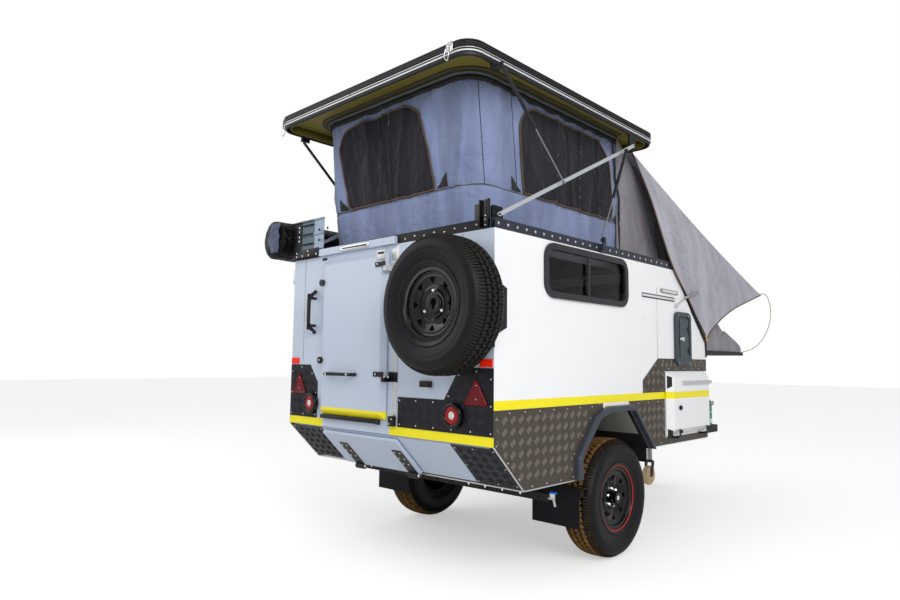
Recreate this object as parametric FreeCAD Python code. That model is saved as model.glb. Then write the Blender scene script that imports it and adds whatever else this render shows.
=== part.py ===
import FreeCAD, Part
import math
import os

# Off-road camper trailer, parked on its jockey wheel with the hard roof raised over its tent.
# It is modelled with the axle at x = 0 and the ground at z = 0, +X towards the drawbar and +Y to the
# left, and every piece is moved to the coupling's ball centre when it is written.

V = FreeCAD.Vector
X_DIR = V(1, 0, 0)
Y_DIR = V(0, 1, 0)
Z_DIR = V(0, 0, 1)

# Shared fits
seat_gap = 0.3
running_gap = 0.5
move_gap = 6.0
overrun = 5.0
straight_share = 0.999

# Cabin body
half_width = 978.0
wall = 30.0
rear_x = -1344.0
front_x = 1452.0
eave_z = 2046.0
chamfer_z = 845.0
skirt_x = -1081.0
skirt_z = 584.0
sill_z = 690.0
nose_top_x = 881.0
nose_mid_x = 1433.0
nose_mid_z = 1478.0
nose_low_z = 1387.0
floor_thick = 30.0
skirt_sheet = 5.0
front_wall_top_z = 1370.0

# Wheel arch opening, seen from the side
arch_rear_x = -525.0
arch_knee_z = 719.0
arch_rear_top_x = -310.0
arch_rear_top_z = 944.0
arch_crown_rear_x = -175.0
arch_crown_front_x = 143.0
arch_crown_z = 982.0
arch_front_x = 427.0
arch_corner_radius = 45.0
arch_box_depth = 345.0
arch_box_sheet = 12.0
flare_width = 38.0
flare_proud = 42.0
flare_sheet = 6.0
flare_roll = 17.0

# Side window
window_rear_x = -884.0
window_front_x = 122.0
window_low_z = 1695.0
window_high_z = 2034.0
window_radius = 95.0
frame_width = 40.0
frame_proud = 14.0
mullion_x = -387.0
mullion_width = 22.0
glass_thick = 4.0

# Rear door and its opening
door_right_y = -107.0
door_left_y = 570.0
door_low_z = 935.0
door_high_z = 2000.0
door_thick = 39.0
door_bevel = 33.0
door_lap = 22.0
hinge_pin_radius = 4.0
hinge_knuckle_radius = 7.0
door_pin_out = 7.0
door_pin_side = 6.0
door_hinge_low_z = 1203.0
door_hinge_high_z = 1905.0
door_hinge_height = 61.0
door_plate_far_y = -200.0
door_plate_thick = 6.0
door_leaf_length = 52.0
lid_hinge_width = 56.0
lid_pin_radius = 4.0
lid_pin_out = 3.0
lid_pin_drop = 9.0
lid_leaf_thick = 4.0
lock_radius = 24.0
lock_proud = 16.0
lock_y = 551.0
lock_low_z = 1303.0
lock_high_z = 1844.0
door_handle_y0 = 160.0
door_handle_y1 = 438.0
door_handle_z = 1212.0
door_handle_radius = 11.0
door_handle_out = 48.0

# Step hatch in the sloping skirt
hatch_right_y = -190.0
hatch_left_y = 570.0
hatch_margin = 28.0
hatch_thick = 22.0
hatch_lap = 18.0

# Kitchen hatch on the right side
kitchen_rear_x = 680.0
kitchen_front_x = 1415.0
kitchen_low_z = 765.0
kitchen_high_z = 1240.0
kitchen_thick = 50.0
kitchen_bevel = 44.0
kitchen_lap = 20.0
kitchen_box_depth = 420.0
kitchen_box_sheet = 12.0
kitchen_handle_x0 = 860.0
kitchen_handle_x1 = 1400.0
kitchen_handle_z = 1160.0
kitchen_handle_thick = 14.0
kitchen_lock_radius = 18.0
kitchen_lock_proud = 12.0
kitchen_lock_x = 820.0
kitchen_lock_z = 970.0
kitchen_hinge_share = 0.16
kitchen_leaf_length = 52.0
step_hinge_ys = (-128.0, 412.0)
step_leaf_length = 235.0
step_leaf_width = 86.0

# Deck ring and rails round the top
deck_thick = 25.0
deck_open_rear_x = -1130.0
deck_open_front_x = 840.0
deck_margin = 278.0
deck_open_half = half_width - deck_margin
rail_top_z = 2105.0
rail_sheet = 3.0
rail_flange = 34.0
rail_front_x = 870.0
corner_bracket_top_z = 2180.0
corner_bracket_length = 95.0
corner_bracket_sheet = 5.0

# Chassis and drawbar
rail_in = 528.0
rail_half_y = half_width - rail_in
beam_width = 50.0
beam_height = 100.0
chassis_rear_x = -1040.0
drawbar_tip_x = 2960.0
drawbar_tip_half = 42.0
coupling_x = 3100.0
coupling_z = 610.0
ball_radius = 25.0
ball_clearance = 0.6
coupling_wall = 12.0
crossmember_shares = (0.0, 0.24, 0.62, 1.0)
chain_lug_hole_radius = 9.0
chain_lug_thick = 10.0
chain_lug_size = 60.0
chain_lug_x = 2700.0

# Road wheels
tyre_radius = 395.0
tyre_width = 243.0
rim_radius = 203.0
wheel_outer_y = 975.5
rim_width = 178.0
rim_sheet = 5.0
rim_disc_set = 40.0
hub_radius = 42.0
stub_radius = 22.0
tread_half_share = 0.86
shoulder_drop = 26.0
crown_drop = 8.0
bead_step = 6.0
bead_rise = 10.0
tyre_wall = 16.0
rim_lip = 22.0
rim_lip_rise = 4.0
rim_well = 12.0
rim_well_share = 0.35
rim_ramp_share = 0.5
disc_dish = 30.0
disc_edge = 10.0
disc_shoulder = 40.0
disc_swell = 14.0
hub_swell_share = 2.2
hub_flat_share = 1.7
rim_hole_count = 8
rim_hole_radius = 17.0
rim_hole_set = 6.0
drum_share = 2.3
drum_depth = 60.0
cap_share = 0.9
cap_back = 20.0
cap_length = 80.0
hub_bore_back = 70.0
hub_bore_length = 100.0
axle_size = 60.0
axle_hub_gap = 18.0
stub_reach = 24.0
hanger_share = 0.45
spring_length = 760.0
spring_width = 60.0
leaf_thick = 9.0
leaf_shares = (1.0, 0.82, 0.64, 0.46)

# Spare wheel
spare_outer_x = -1618.0
spare_in = 259.0
spare_y = spare_in - half_width
spare_z = 1618.0
carrier_drop = 60.0
carrier_taper = 110.0
carrier_reach = 418.0
carrier_hub_half = 150.0
carrier_post_share = 1.6
carrier_low_z = 1385.0
carrier_high_z = 1825.0
carrier_front_x = -1240.0
carrier_sheet = 6.0

# Raised roof
roof_rear_x = -1537.0
roof_front_x = 646.0
roof_margin = 28.0
roof_half = half_width - roof_margin
roof_lip_z = 3005.0
roof_edge_z = 3088.0
roof_crown_z = 3122.0
roof_skin = 14.0
roof_corner_radius = 110.0
roof_ribs = 14
roof_crown_inset = 120.0
roof_rib_inset = 168.0
roof_shoulder_share = 0.4
roof_middle_share = 0.75
lining_thick = 10.0
lining_inset = 60.0
trim_height = 12.0
trim_proud = 5.0
trim_z = 3026.0

# Lift arms and gas struts
arm_pivot_x = -1289.0
arm_pivot_z = 2130.0
arm_length = 1753.0
arm_angle = 26.66
arm_thick = 12.0
arm_height = 24.0
arm_side_gap = 8.0
arm_inner_y = roof_half + arm_side_gap
arm_pin_radius = 6.0
upper_strut_roof_x = -1309.0
upper_strut_roof_z = 2995.0
upper_strut_arm_at = 679.0
lower_strut_end_gap = 177.0
lower_strut_arm_at = arm_length - lower_strut_end_gap
lower_strut_rail_x = -236.0
lower_strut_rail_z = 2128.0
strut_side_gap = 32.0
strut_y = arm_inner_y + strut_side_gap
strut_radius = 11.0
strut_rod_radius = 5.0
strut_eye_radius = 10.0
strut_eye_bore = 5.0
upper_cylinder_length = 440.0
lower_cylinder_length = 430.0
rod_engage = 60.0
bracket_sheet = 12.0
arm_bracket_half = 40.0
strut_bracket_half = 35.0
strut_bracket_drop = 22.0
pin_head = 4.0

# Tent and nose
canvas = 6.0
tent_margin = 233.0
tent_half = half_width - tent_margin
tent_rear_low_x = -1180.0
tent_rear_high_x = -1290.0
tent_front_low_x = 500.0
tent_front_high_x = 370.0
tent_corner = 150.0
platform_z = 1390.0
platform_thick = 32.0
platform_front_x = 2450.0
platform_half = 930.0
nose_tent_low_half = 920.0
nose_tent_high_half = 700.0
nose_tent_top_x = 560.0
nose_tent_sag_x = 1925.0
nose_tent_sag_z = 1760.0
fly_top_x = 636.0
fly_top_half = 760.0
fly_rail_x = 800.0
fly_rail_z = 2115.0
fly_side_y = 988.0
fly_hem_x = 2930.0
fly_hem_z = 2010.0
fly_hem_half = platform_half + overrun * 4
fly_low_x = 1456.0
fly_low_z = 1520.0
fly_bow_x = 2000.0
fly_bow_z = 1730.0
hoop_radius = 4.0
hoop_low_x = 2420.0
hoop_belly_x = 2930.0
hoop_belly_z = 1535.0
hoop_front_x = 3270.0
hoop_front_z = 1810.0
hoop_top_x = 3215.0
hoop_top_z = 1990.0

# Fittings
stripe_low_z = 1041.0
stripe_high_z = 1093.0
rear_stripe_high_z = 899.0
plate_margin = 8.0
white_patch_rear_x = -222.0
white_patch_front_x = 121.0
upper_plate_rear_x = 334.0
upper_plate_bend_x = 577.0
upper_plate_knee_z = 1184.0
upper_plate_high_z = 1344.0
corner_plate_high_z = 1270.0
left_plate_knee_z = 1147.0
left_plate_top_in = 241.0
left_plate_in = 335.0
right_plate_knee_z = 1083.0
right_plate_top_in = 250.0
right_plate_knee_in = 373.0
right_plate_in = 769.0
skirt_plate_in = 328.0
triangle_in = 120.0
triangle_half = 78.0
triangle_low_z = 1068.0
triangle_high_z = 1203.0
triangle_thick = 6.0
reflector_in = 98.0
reflector_edge = 8.0
reflector_thick = 8.0
reflector_low_z = 1276.0
reflector_high_z = 1319.0
light_radius = 63.0
light_in = 283.0
light_y = half_width - light_in
light_z = 1000.0
light_proud = 28.0
tread_sheet = 3.0
utility_rear_x = 852.0
utility_front_x = 1132.0
utility_low_z = 1292.0
utility_high_z = 1716.0
utility_proud = 20.0
utility_radius = 55.0
utility_rim = 34.0
utility_recess = 10.0
handle_y = 695.0
handle_low_z = 1518.0
handle_high_z = 1776.0
handle_radius = 12.0
handle_out = 60.0
header_low_z = 2046.0
header_high_z = 2094.0
header_proud = 26.0
header_right_y = -175.0
header_left_y = 643.0
handle_post_share = 0.12
handle_post_radius_share = 0.8
awning_radius = 150.0
awning_seat_out = 30.0
awning_flat_share = 0.95
awning_z = 2218.0
awning_rear_x = -1450.0
awning_length = 2100.0
awning_bracket_half = 50.0
awning_plate_out = 13.0
awning_plate_sheet = 4.0
awning_plate_inner_y = 600.0
awning_plate_high_z = 2330.0
awning_fin = 10.0
awning_bracket_xs = (-1225.0, 395.0)
flap_x = -450.0
flap_bar_radius = 30.0
flap_bar_z = 490.0
flap_bar_half = 985.0
flap_inner_y = 600.0
flap_outer_y = 960.0
flap_low_z = 270.0
flap_thick = 8.0
channel_x = -700.0
channel_size = 48.0
channel_sheet = 5.0
channel_z = 504.0
channel_half = 880.0
channel_hole_radius = 9.0
channel_holes = 12
tap_length = 40.0
tap_radius = 9.0
tray_rear_x = 1475.0
tray_front_x = 2062.0
tray_half = 822.0
tray_height = 64.0
tray_sheet = 4.0
bottle_x = 1930.0
bottle_y = -692.0
bottle_radius = 125.0
bottle_height = 305.0
bottle_neck_radius = 26.0
jockey_x = 2720.0
jockey_y = 190.0
jockey_tube_radius = 30.0
jockey_leg_radius = 25.5
jockey_wheel_radius = 100.0
jockey_wheel_width = 60.0
jockey_trail = 35.0
jockey_tube_low_z = 470.0
jockey_tube_high_z = 900.0
jockey_fork_rise = 60.0
jockey_leg_rise = 125.0
crank_rise = 110.0
crank_length = 150.0
crank_radius = 7.0
crown_share = 1.4
crown_height = 24.0
cheek_gap = 6.0
cheek_sheet = 5.0
cheek_front = 30.0
cheek_rear = 40.0
cheek_tip = 18.0
cheek_drop = 14.0
jockey_pin_radius = 8.0
jockey_pin_head = 8.0


def box(x0, x1, y0, y1, z0, z1):
    """Block between the given faces."""
    lows = [min(a, b) for a, b in ((x0, x1), (y0, y1), (z0, z1))]
    highs = [max(a, b) for a, b in ((x0, x1), (y0, y1), (z0, z1))]
    sides = [high - low for low, high in zip(lows, highs)]
    return Part.makeBox(*sides, V(*lows))


def mirrored(shape):
    """The shape on the other side of the trailer."""
    return shape.mirror(V(0, 0, 0), Y_DIR)


tent_top_z = roof_edge_z - roof_skin - seat_gap * 2 - lining_thick
fly_top_z = roof_lip_z - seat_gap - canvas
inside_half = half_width - wall - seat_gap


def both(shape):
    """A piece and its mirror image, as one compound of solids."""
    return Part.makeCompound([shape, mirrored(shape)])


def face_of(points):
    """A flat face inside the closed outline of points."""
    return Part.Face(Part.makePolygon(points + points[:1]))


def side_plate(points, y0, y1):
    """A plate with an outline in x and z, between two y planes."""
    return face_of([V(x, y0, z) for x, z in points]).extrude(V(0, y1 - y0, 0))


def cross_plate(points, x0, x1):
    """A plate with an outline in y and z, between two x planes."""
    return face_of([V(x0, y, z) for y, z in points]).extrude(V(x1 - x0, 0, 0))


def unit(run):
    """The direction of a run, as a vector of length one."""
    return run * (1 / run.Length)


def slab(origin, *sides):
    """A block with slanted axes, from one corner and its three sides."""
    first, second, third = sides
    return face_of([origin, origin + first, origin + first + second, origin + second]).extrude(third)


def rod_between(start, end, radius):
    """A round bar from one point to another."""
    run = end - start
    return Part.makeCylinder(radius, run.Length, start, run)


def tube_between(start, end, outer, inner):
    """A round tube from one point to another."""
    reach = unit(end - start)
    bore = rod_between(start - reach * overrun, end + reach * overrun, inner)
    return rod_between(start, end, outer).cut(bore)


def round_edges(shape, radius, direction):
    """Rounds every straight edge that runs along the given direction."""
    edges = []
    for edge in shape.Edges:
        run = edge.Vertexes[-1].Point - edge.Vertexes[0].Point
        if run.Length > 0 and abs(run.normalize().dot(direction)) > straight_share:
            edges.append(edge)
    return shape.makeFillet(radius, edges)


def rounded_block(x0, x1, y0, y1, z0, z1, radius, direction):
    """A block with its edges along one direction rounded."""
    return round_edges(box(x0, x1, y0, y1, z0, z1), radius, direction)


def bevelled_block(block, bevel, outward):
    """A pan door: the edges of its outer face are bevelled."""
    face = max(block.Faces, key=lambda item: item.CenterOfMass.dot(outward))
    return block.makeChamfer(bevel, face.Edges)


def joined(shapes):
    """One solid from shapes that overlap or share faces."""
    result = shapes[0]
    if len(shapes) > 1:
        result = shapes[0].multiFuse(shapes[1:])
    return result.removeSplitter()


def body_outline(shrink):
    """The side view of the cabin, moved inwards by a given amount on its straight faces."""
    return [
        (rear_x + shrink, chamfer_z + shrink / 2),
        (skirt_x + shrink / 2, skirt_z + shrink),
        (arch_rear_x, skirt_z + shrink),
        (arch_rear_x, sill_z + shrink),
        (front_x - shrink, sill_z + shrink),
        (front_x - shrink, nose_low_z),
        (nose_mid_x - shrink, nose_mid_z),
        (nose_top_x - shrink, eave_z - shrink),
        (rear_x + shrink, eave_z - shrink),
    ]


def arch_points(grow):
    """The wheel arch's outline, grown outwards by a given amount."""
    foot = skirt_z - overrun
    return [
        (arch_rear_x - grow, foot),
        (arch_rear_x - grow, arch_knee_z),
        (arch_rear_top_x - grow, arch_rear_top_z + grow / 2),
        (arch_crown_rear_x, arch_crown_z + grow),
        (arch_crown_front_x + grow / 2, arch_crown_z + grow),
        (arch_front_x + grow, sill_z),
        (arch_front_x + grow, foot),
    ]


def arch_solid(grow, y0, y1):
    """The space of the wheel arch as a solid with rounded corners."""
    plate = side_plate(arch_points(grow), y0, y1)
    edges = [edge for edge in plate.Edges
             if abs((edge.Vertexes[-1].Point - edge.Vertexes[0].Point).y) > overrun
             and edge.CenterOfMass.z > arch_knee_z - overrun]
    return plate.makeFillet(arch_corner_radius, edges)


def window_cutter(inset, y0, y1):
    """The rounded window outline, moved inwards by the inset, as a cutter."""
    return rounded_block(window_rear_x + inset, window_front_x - inset, y0, y1,
                         window_low_z + inset, window_high_z - inset, window_radius - inset, Y_DIR)


def side_wall():
    """One side panel on the left, with the arch and the window cut out."""
    inner = half_width - wall
    panel = side_plate(body_outline(0), inner, half_width)
    panel = panel.cut(arch_solid(0, inner - overrun, half_width + overrun))
    return panel.cut(window_cutter(frame_width - overrun, inner - overrun, half_width + overrun))


def kitchen_opening(y0, y1):
    """The cutter for the kitchen opening in the right side."""
    return box(kitchen_rear_x + kitchen_lap, kitchen_front_x - kitchen_lap, y0, y1,
               kitchen_low_z + kitchen_lap, kitchen_high_z - kitchen_lap)


def rear_wall():
    """The rear panel between the sides, with the doorway cut out."""
    inner = inside_half
    panel = box(rear_x, rear_x + wall, -inner, inner, chamfer_z, eave_z)
    doorway = box(rear_x - overrun, rear_x + wall + overrun,
                  door_right_y + door_lap, door_left_y - door_lap,
                  door_low_z + door_lap, door_high_z - door_lap)
    return panel.cut(doorway)


slope_run = V(skirt_x - rear_x, 0, skirt_z - chamfer_z)
slope_length = slope_run.Length
slope_down = V(slope_run.x / slope_length, 0, slope_run.z / slope_length)
slope_out = V(slope_down.z, 0, -slope_down.x)
slope_top = V(rear_x, 0, chamfer_z)


def slope_block(from_top, to_top, y0, y1, out0, out1):
    """A block on the sloping skirt, by distance down the slope and out from it."""
    corners = []
    for down, out in ((from_top, out0), (to_top, out0), (to_top, out1), (from_top, out1)):
        corners.append(slope_top + slope_down * down + slope_out * out + V(0, y0, 0))
    return face_of(corners).extrude(V(0, y1 - y0, 0))


def rear_skirt():
    """The sloping panel under the rear wall, with the step recess cut out."""
    inner = inside_half
    panel = slope_block(wall * 0.6, slope_length - wall / 2, -inner, inner, -wall / 2, 0)
    recess = slope_block(hatch_margin + hatch_lap, slope_length - hatch_margin - hatch_lap,
                         hatch_right_y + hatch_lap, hatch_left_y - hatch_lap, -wall, overrun)
    return panel.cut(recess)


def cabin_floor():
    """The flat floor between the arch boxes."""
    inner = inside_half
    plate = box(chassis_rear_x, front_x - wall - seat_gap, -inner, inner, sill_z, sill_z + floor_thick)
    reach = half_width - wall - arch_box_depth
    for side in (-1, 1):
        notch = box(arch_rear_x - arch_box_sheet - seat_gap, arch_front_x + arch_box_sheet + seat_gap,
                    side * (reach - arch_box_sheet - seat_gap), side * half_width,
                    sill_z - overrun, sill_z + floor_thick + overrun)
        plate = plate.cut(notch)
    return plate


def skirt_floor():
    """The sheet that closes the skirt below, behind the wheels."""
    return box(skirt_x + wall, arch_rear_x - arch_box_sheet - seat_gap, -inside_half, inside_half,
               skirt_z, skirt_z + skirt_sheet)


def front_wall():
    """The front panel from the sill up to the bed platform."""
    inner = inside_half
    return box(front_x - wall, front_x, -inner, inner, sill_z, front_wall_top_z)


def nose_frame():
    """The open frame round the slanted nose, into which the bed reaches."""
    inner = inside_half
    width = wall * 2
    run = V(nose_top_x - nose_mid_x, 0, eave_z - nose_mid_z)
    along = V(run.x, run.y, run.z).normalize()
    inward = V(-along.z, 0, along.x)
    start = V(nose_mid_x, 0, nose_mid_z)
    end = V(nose_top_x, 0, eave_z)
    corners = [start, end, end + inward * wall, start + inward * wall]
    sheet = face_of([point + V(0, -inner, 0) for point in corners]).extrude(V(0, inner * 2, 0))
    hole_ends = [start + along * width, end - along * width]
    hole_corners = [hole_ends[0] - inward * overrun, hole_ends[1] - inward * overrun,
                    hole_ends[1] + inward * (wall + overrun), hole_ends[0] + inward * (wall + overrun)]
    hole = face_of([point + V(0, width - inner, 0) for point in hole_corners])
    return sheet.cut(hole.extrude(V(0, (inner - width) * 2, 0)))


def deck_ring():
    """The four boards at the top of the walls that the tent stands on, butted at their corners."""
    low = eave_z - deck_thick
    back = rear_x + wall + seat_gap
    front = nose_top_x - wall * 2
    hole_front = deck_open_front_x - wall * 2
    side = box(deck_open_rear_x + seat_gap, hole_front - seat_gap, deck_open_half, inside_half, low, eave_z)
    rear = box(back, deck_open_rear_x, -inside_half, inside_half, low, eave_z)
    ahead = box(hole_front, front, -inside_half, inside_half, low, eave_z)
    return Part.makeCompound([side, mirrored(side), rear, ahead])


def side_rail():
    """The angle rail along the top of one side."""
    upright = box(rear_x, rail_front_x, half_width - rail_sheet, half_width, eave_z + seat_gap, rail_top_z)
    flange = box(rear_x, rail_front_x, half_width - rail_flange, half_width,
                 eave_z + seat_gap, eave_z + seat_gap + rail_sheet)
    return joined([upright, flange])


def rear_rail():
    """The angle rail across the top of the rear wall, butted against the two side rails."""
    inner = half_width - rail_flange - seat_gap
    upright = box(rear_x, rear_x + rail_sheet, -inner, inner, eave_z + seat_gap, rail_top_z)
    flange = box(rear_x, rear_x + rail_flange, -inner, inner, eave_z + seat_gap,
                 eave_z + seat_gap + rail_sheet)
    return joined([upright, flange])


def corner_bracket():
    """The upright bracket at a rear corner that carries the arm's lower pivot."""
    outer = arm_inner_y - running_gap * 10
    inner = outer - bracket_sheet
    foot = eave_z + seat_gap + rail_sheet + seat_gap
    plate = box(arm_pivot_x - corner_bracket_length / 2, arm_pivot_x + corner_bracket_length / 2,
                inner, outer, foot, corner_bracket_top_z)
    plate = round_edges(plate, corner_bracket_sheet * 3, Y_DIR)
    pin = rod_between(V(arm_pivot_x, outer - overrun, arm_pivot_z),
                      V(arm_pivot_x, arm_inner_y + arm_thick + corner_bracket_sheet, arm_pivot_z),
                      arm_pin_radius)
    return joined([plate, pin])


def wheel_arch():
    """The closed box over one wheel, open to the side and below."""
    outer_y = half_width - wall - seat_gap
    inner_y = outer_y - arch_box_depth
    shell = arch_solid(arch_box_sheet, inner_y - arch_box_sheet, outer_y)
    hollow = arch_solid(0, inner_y, outer_y + overrun)
    shell = shell.cut(hollow)
    return shell.cut(box(arch_rear_x * 2, arch_front_x * 2, inner_y - wall, outer_y + wall,
                         skirt_z - overrun * 2, skirt_z + seat_gap + skirt_sheet))


def arch_flare():
    """The rolled flare round one arch opening."""
    outer = arch_solid(flare_width, half_width + seat_gap, half_width + flare_proud)
    face = max(outer.Faces, key=lambda item: item.CenterOfMass.y)
    outer = outer.makeFillet(flare_roll, face.Edges)
    hollow = arch_solid(flare_width - flare_sheet, half_width + seat_gap - overrun,
                        half_width + flare_proud - flare_sheet)
    face = max(hollow.Faces, key=lambda item: item.CenterOfMass.y)
    hollow = hollow.makeFillet(flare_roll - flare_sheet, face.Edges)
    hole = arch_solid(0, half_width - overrun, half_width + flare_proud + overrun)
    flange = arch_solid(flare_sheet * 2, half_width + seat_gap, half_width + flare_proud - flare_sheet / 2)
    flare = joined([outer.cut(hollow), flange]).cut(hole)
    return flare.cut(box(arch_rear_x * 2, 0, half_width - wall, half_width + flare_proud + overrun,
                         skirt_z - overrun * 2, skirt_z)).cut(
        box(0, front_x, half_width - wall, half_width + flare_proud + overrun,
            skirt_z - overrun * 2, sill_z))


def window_frame():
    """The rubber frame of one side window, with its sliding bar."""
    outer = window_cutter(0, half_width + seat_gap, half_width + frame_proud)
    hole = window_cutter(frame_width, half_width - overrun, half_width + frame_proud + overrun)
    bar = box(mullion_x - mullion_width / 2, mullion_x + mullion_width / 2,
              half_width + seat_gap, half_width + frame_proud - overrun,
              window_low_z + frame_width / 2, window_high_z - frame_width / 2)
    return joined([outer.cut(hole), bar])


def window_pane():
    """The glass of one side window."""
    middle = half_width - wall / 2
    return window_cutter(frame_width - overrun + seat_gap, middle, middle + glass_thick)


def kitchen_box():
    """The lined box behind the kitchen hatch."""
    outer_y = half_width - wall - seat_gap
    x0 = kitchen_rear_x + kitchen_lap
    x1 = kitchen_front_x - kitchen_lap
    z0 = kitchen_low_z + kitchen_lap
    z1 = kitchen_high_z - kitchen_lap
    sheet = kitchen_box_sheet
    shell = box(x0 - sheet, x1 + sheet, -outer_y, -(outer_y - kitchen_box_depth), z0 - sheet, z1 + sheet)
    return shell.cut(box(x0, x1, -outer_y - overrun, -(outer_y - kitchen_box_depth + sheet), z0, z1))


def side_tread_plates():
    """The patterned plates on both sides, as thin skins below and ahead of the stripe."""
    skin0 = half_width + seat_gap
    skin1 = skin0 + tread_sheet
    edge = plate_margin
    rear_plate = side_plate([
        (rear_x, chamfer_z), (skirt_x, skirt_z), (white_patch_rear_x, skirt_z),
        (white_patch_rear_x, stripe_low_z), (rear_x, stripe_low_z)], skin0, skin1)
    front_plate = side_plate([
        (arch_front_x, sill_z + edge), (kitchen_rear_x - edge, sill_z + edge),
        (kitchen_rear_x - edge, stripe_low_z), (white_patch_front_x, stripe_low_z)], skin0, skin1)
    clear = arch_solid(flare_width + seat_gap, half_width - overrun, skin1 + overrun)
    strips = box(kitchen_rear_x - edge, front_x, skin0, skin1, sill_z + edge, kitchen_low_z - edge * 2)
    over_hatch = kitchen_high_z + edge
    upper = side_plate([
        (upper_plate_rear_x, stripe_high_z), (upper_plate_rear_x, upper_plate_knee_z),
        (upper_plate_bend_x, upper_plate_high_z), (front_x, upper_plate_high_z), (front_x, over_hatch),
        (kitchen_rear_x, over_hatch), (kitchen_rear_x, stripe_high_z)], skin0, skin1)
    plates = [rear_plate.cut(clear), joined([front_plate.cut(clear), strips]), upper]
    return Part.makeCompound(plates + [mirrored(plate) for plate in plates])


def rear_tread_plates():
    """The patterned plates on the rear wall's corners and on the sloping skirt."""
    skin0 = rear_x - seat_gap
    skin1 = skin0 - tread_sheet
    inner = half_width - seat_gap
    low = rear_stripe_high_z
    left = cross_plate([
        (inner, low), (inner, corner_plate_high_z), (half_width - left_plate_top_in, corner_plate_high_z),
        (half_width - left_plate_in, left_plate_knee_z), (half_width - left_plate_in, low)], skin0, skin1)
    right = cross_plate([
        (-inner, low), (-inner, corner_plate_high_z), (right_plate_top_in - half_width, corner_plate_high_z),
        (right_plate_knee_in - half_width, right_plate_knee_z),
        (right_plate_in - half_width, right_plate_knee_z), (right_plate_in - half_width, low)], skin0, skin1)
    low_left = slope_block(hatch_margin / 2, slope_length - hatch_margin / 2,
                           hatch_left_y + hatch_margin, inner, seat_gap, seat_gap + tread_sheet)
    low_right = slope_block(hatch_margin / 2, slope_length - hatch_margin / 2,
                            -inner, skirt_plate_in - half_width, seat_gap, seat_gap + tread_sheet)
    return Part.makeCompound([left, right, low_left, low_right])


def rear_lamps():
    """Round tail lamps, triangles and side reflectors on the rear wall."""
    base = rear_x - seat_gap - tread_sheet - seat_gap
    lamps = []
    for side in (-1, 1):
        lamp = Part.makeCylinder(light_radius, light_proud, V(base, side * light_y, light_z), -X_DIR)
        rim = lamp.Edges
        lamps.append(lamp.makeFillet(overrun, [edge for edge in rim
                                               if edge.CenterOfMass.x < base - light_proud / 2
                                               and edge.Closed]))
        top = side * (half_width - triangle_in)
        lamps.append(cross_plate([(top, triangle_high_z), (top - triangle_half, triangle_low_z),
                                  (top + triangle_half, triangle_low_z)], base, base - triangle_thick))
        lamps.append(box(rear_x - seat_gap, rear_x - seat_gap - reflector_thick,
                         side * (half_width - reflector_in), side * (half_width - reflector_edge),
                         reflector_low_z, reflector_high_z))
    return Part.makeCompound(lamps)


def lamp_header():
    """The plate over the door with its lamp."""
    return box(rear_x - header_proud, rear_x - seat_gap, header_right_y, header_left_y,
               header_low_z + seat_gap, header_high_z)


def bar_handle(start, end, out, radius):
    """A bar handle on two posts that stand on the face behind it."""
    bar = rod_between(start + out, end + out, radius)
    run = end - start
    posts = [rod_between(start + run * share, start + run * share + out, radius * handle_post_radius_share)
             for share in (handle_post_share, 1 - handle_post_share)]
    return joined([bar] + posts)


def grab_handle():
    """The upright grab handle beside the door."""
    skin = V(rear_x - seat_gap, handle_y, 0)
    return bar_handle(skin + V(0, 0, handle_low_z), skin + V(0, 0, handle_high_z),
                      V(-handle_out, 0, 0), handle_radius)


def utility_box():
    """The rounded service box on the right side near the nose."""
    skin = half_width + seat_gap + tread_sheet + seat_gap
    shell = rounded_block(utility_rear_x, utility_front_x, -skin - utility_proud, -skin,
                          utility_low_z, utility_high_z, utility_radius, Y_DIR)
    inset = rounded_block(utility_rear_x + utility_rim, utility_front_x - utility_rim,
                          -skin - utility_proud - overrun, -skin - utility_proud + utility_recess,
                          utility_low_z + utility_rim * 2, utility_high_z - utility_rim,
                          utility_radius - utility_rim / 2, Y_DIR)
    outer = min(shell.Faces, key=lambda item: item.CenterOfMass.y)
    return shell.makeFillet(overrun, outer.Edges).cut(inset)


def spare_carrier():
    """The bracket that wraps the right rear corner and carries the spare wheel."""
    skin = half_width + seat_gap
    back = rear_x - seat_gap
    side_leaf = side_plate([
        (back - carrier_sheet, carrier_low_z + carrier_drop),
        (carrier_front_x, carrier_low_z + carrier_taper), (carrier_front_x, carrier_high_z - carrier_taper),
        (back - carrier_sheet, carrier_high_z - carrier_drop)], -skin - carrier_sheet, -skin)
    inner = carrier_reach - half_width
    rear_leaf = cross_plate([
        (-skin - carrier_sheet, carrier_low_z), (-skin - carrier_sheet, carrier_high_z),
        (inner, spare_z + carrier_hub_half), (inner, spare_z - carrier_hub_half)],
        back, back - carrier_sheet)
    seat = spare_outer_x + tyre_width / 2 - rim_width / 2 + rim_disc_set + rim_sheet + seat_gap
    post = rod_between(V(back, spare_y, spare_z), V(seat, spare_y, spare_z),
                       hub_radius * carrier_post_share)
    return joined([side_leaf, rear_leaf, post])


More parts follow.
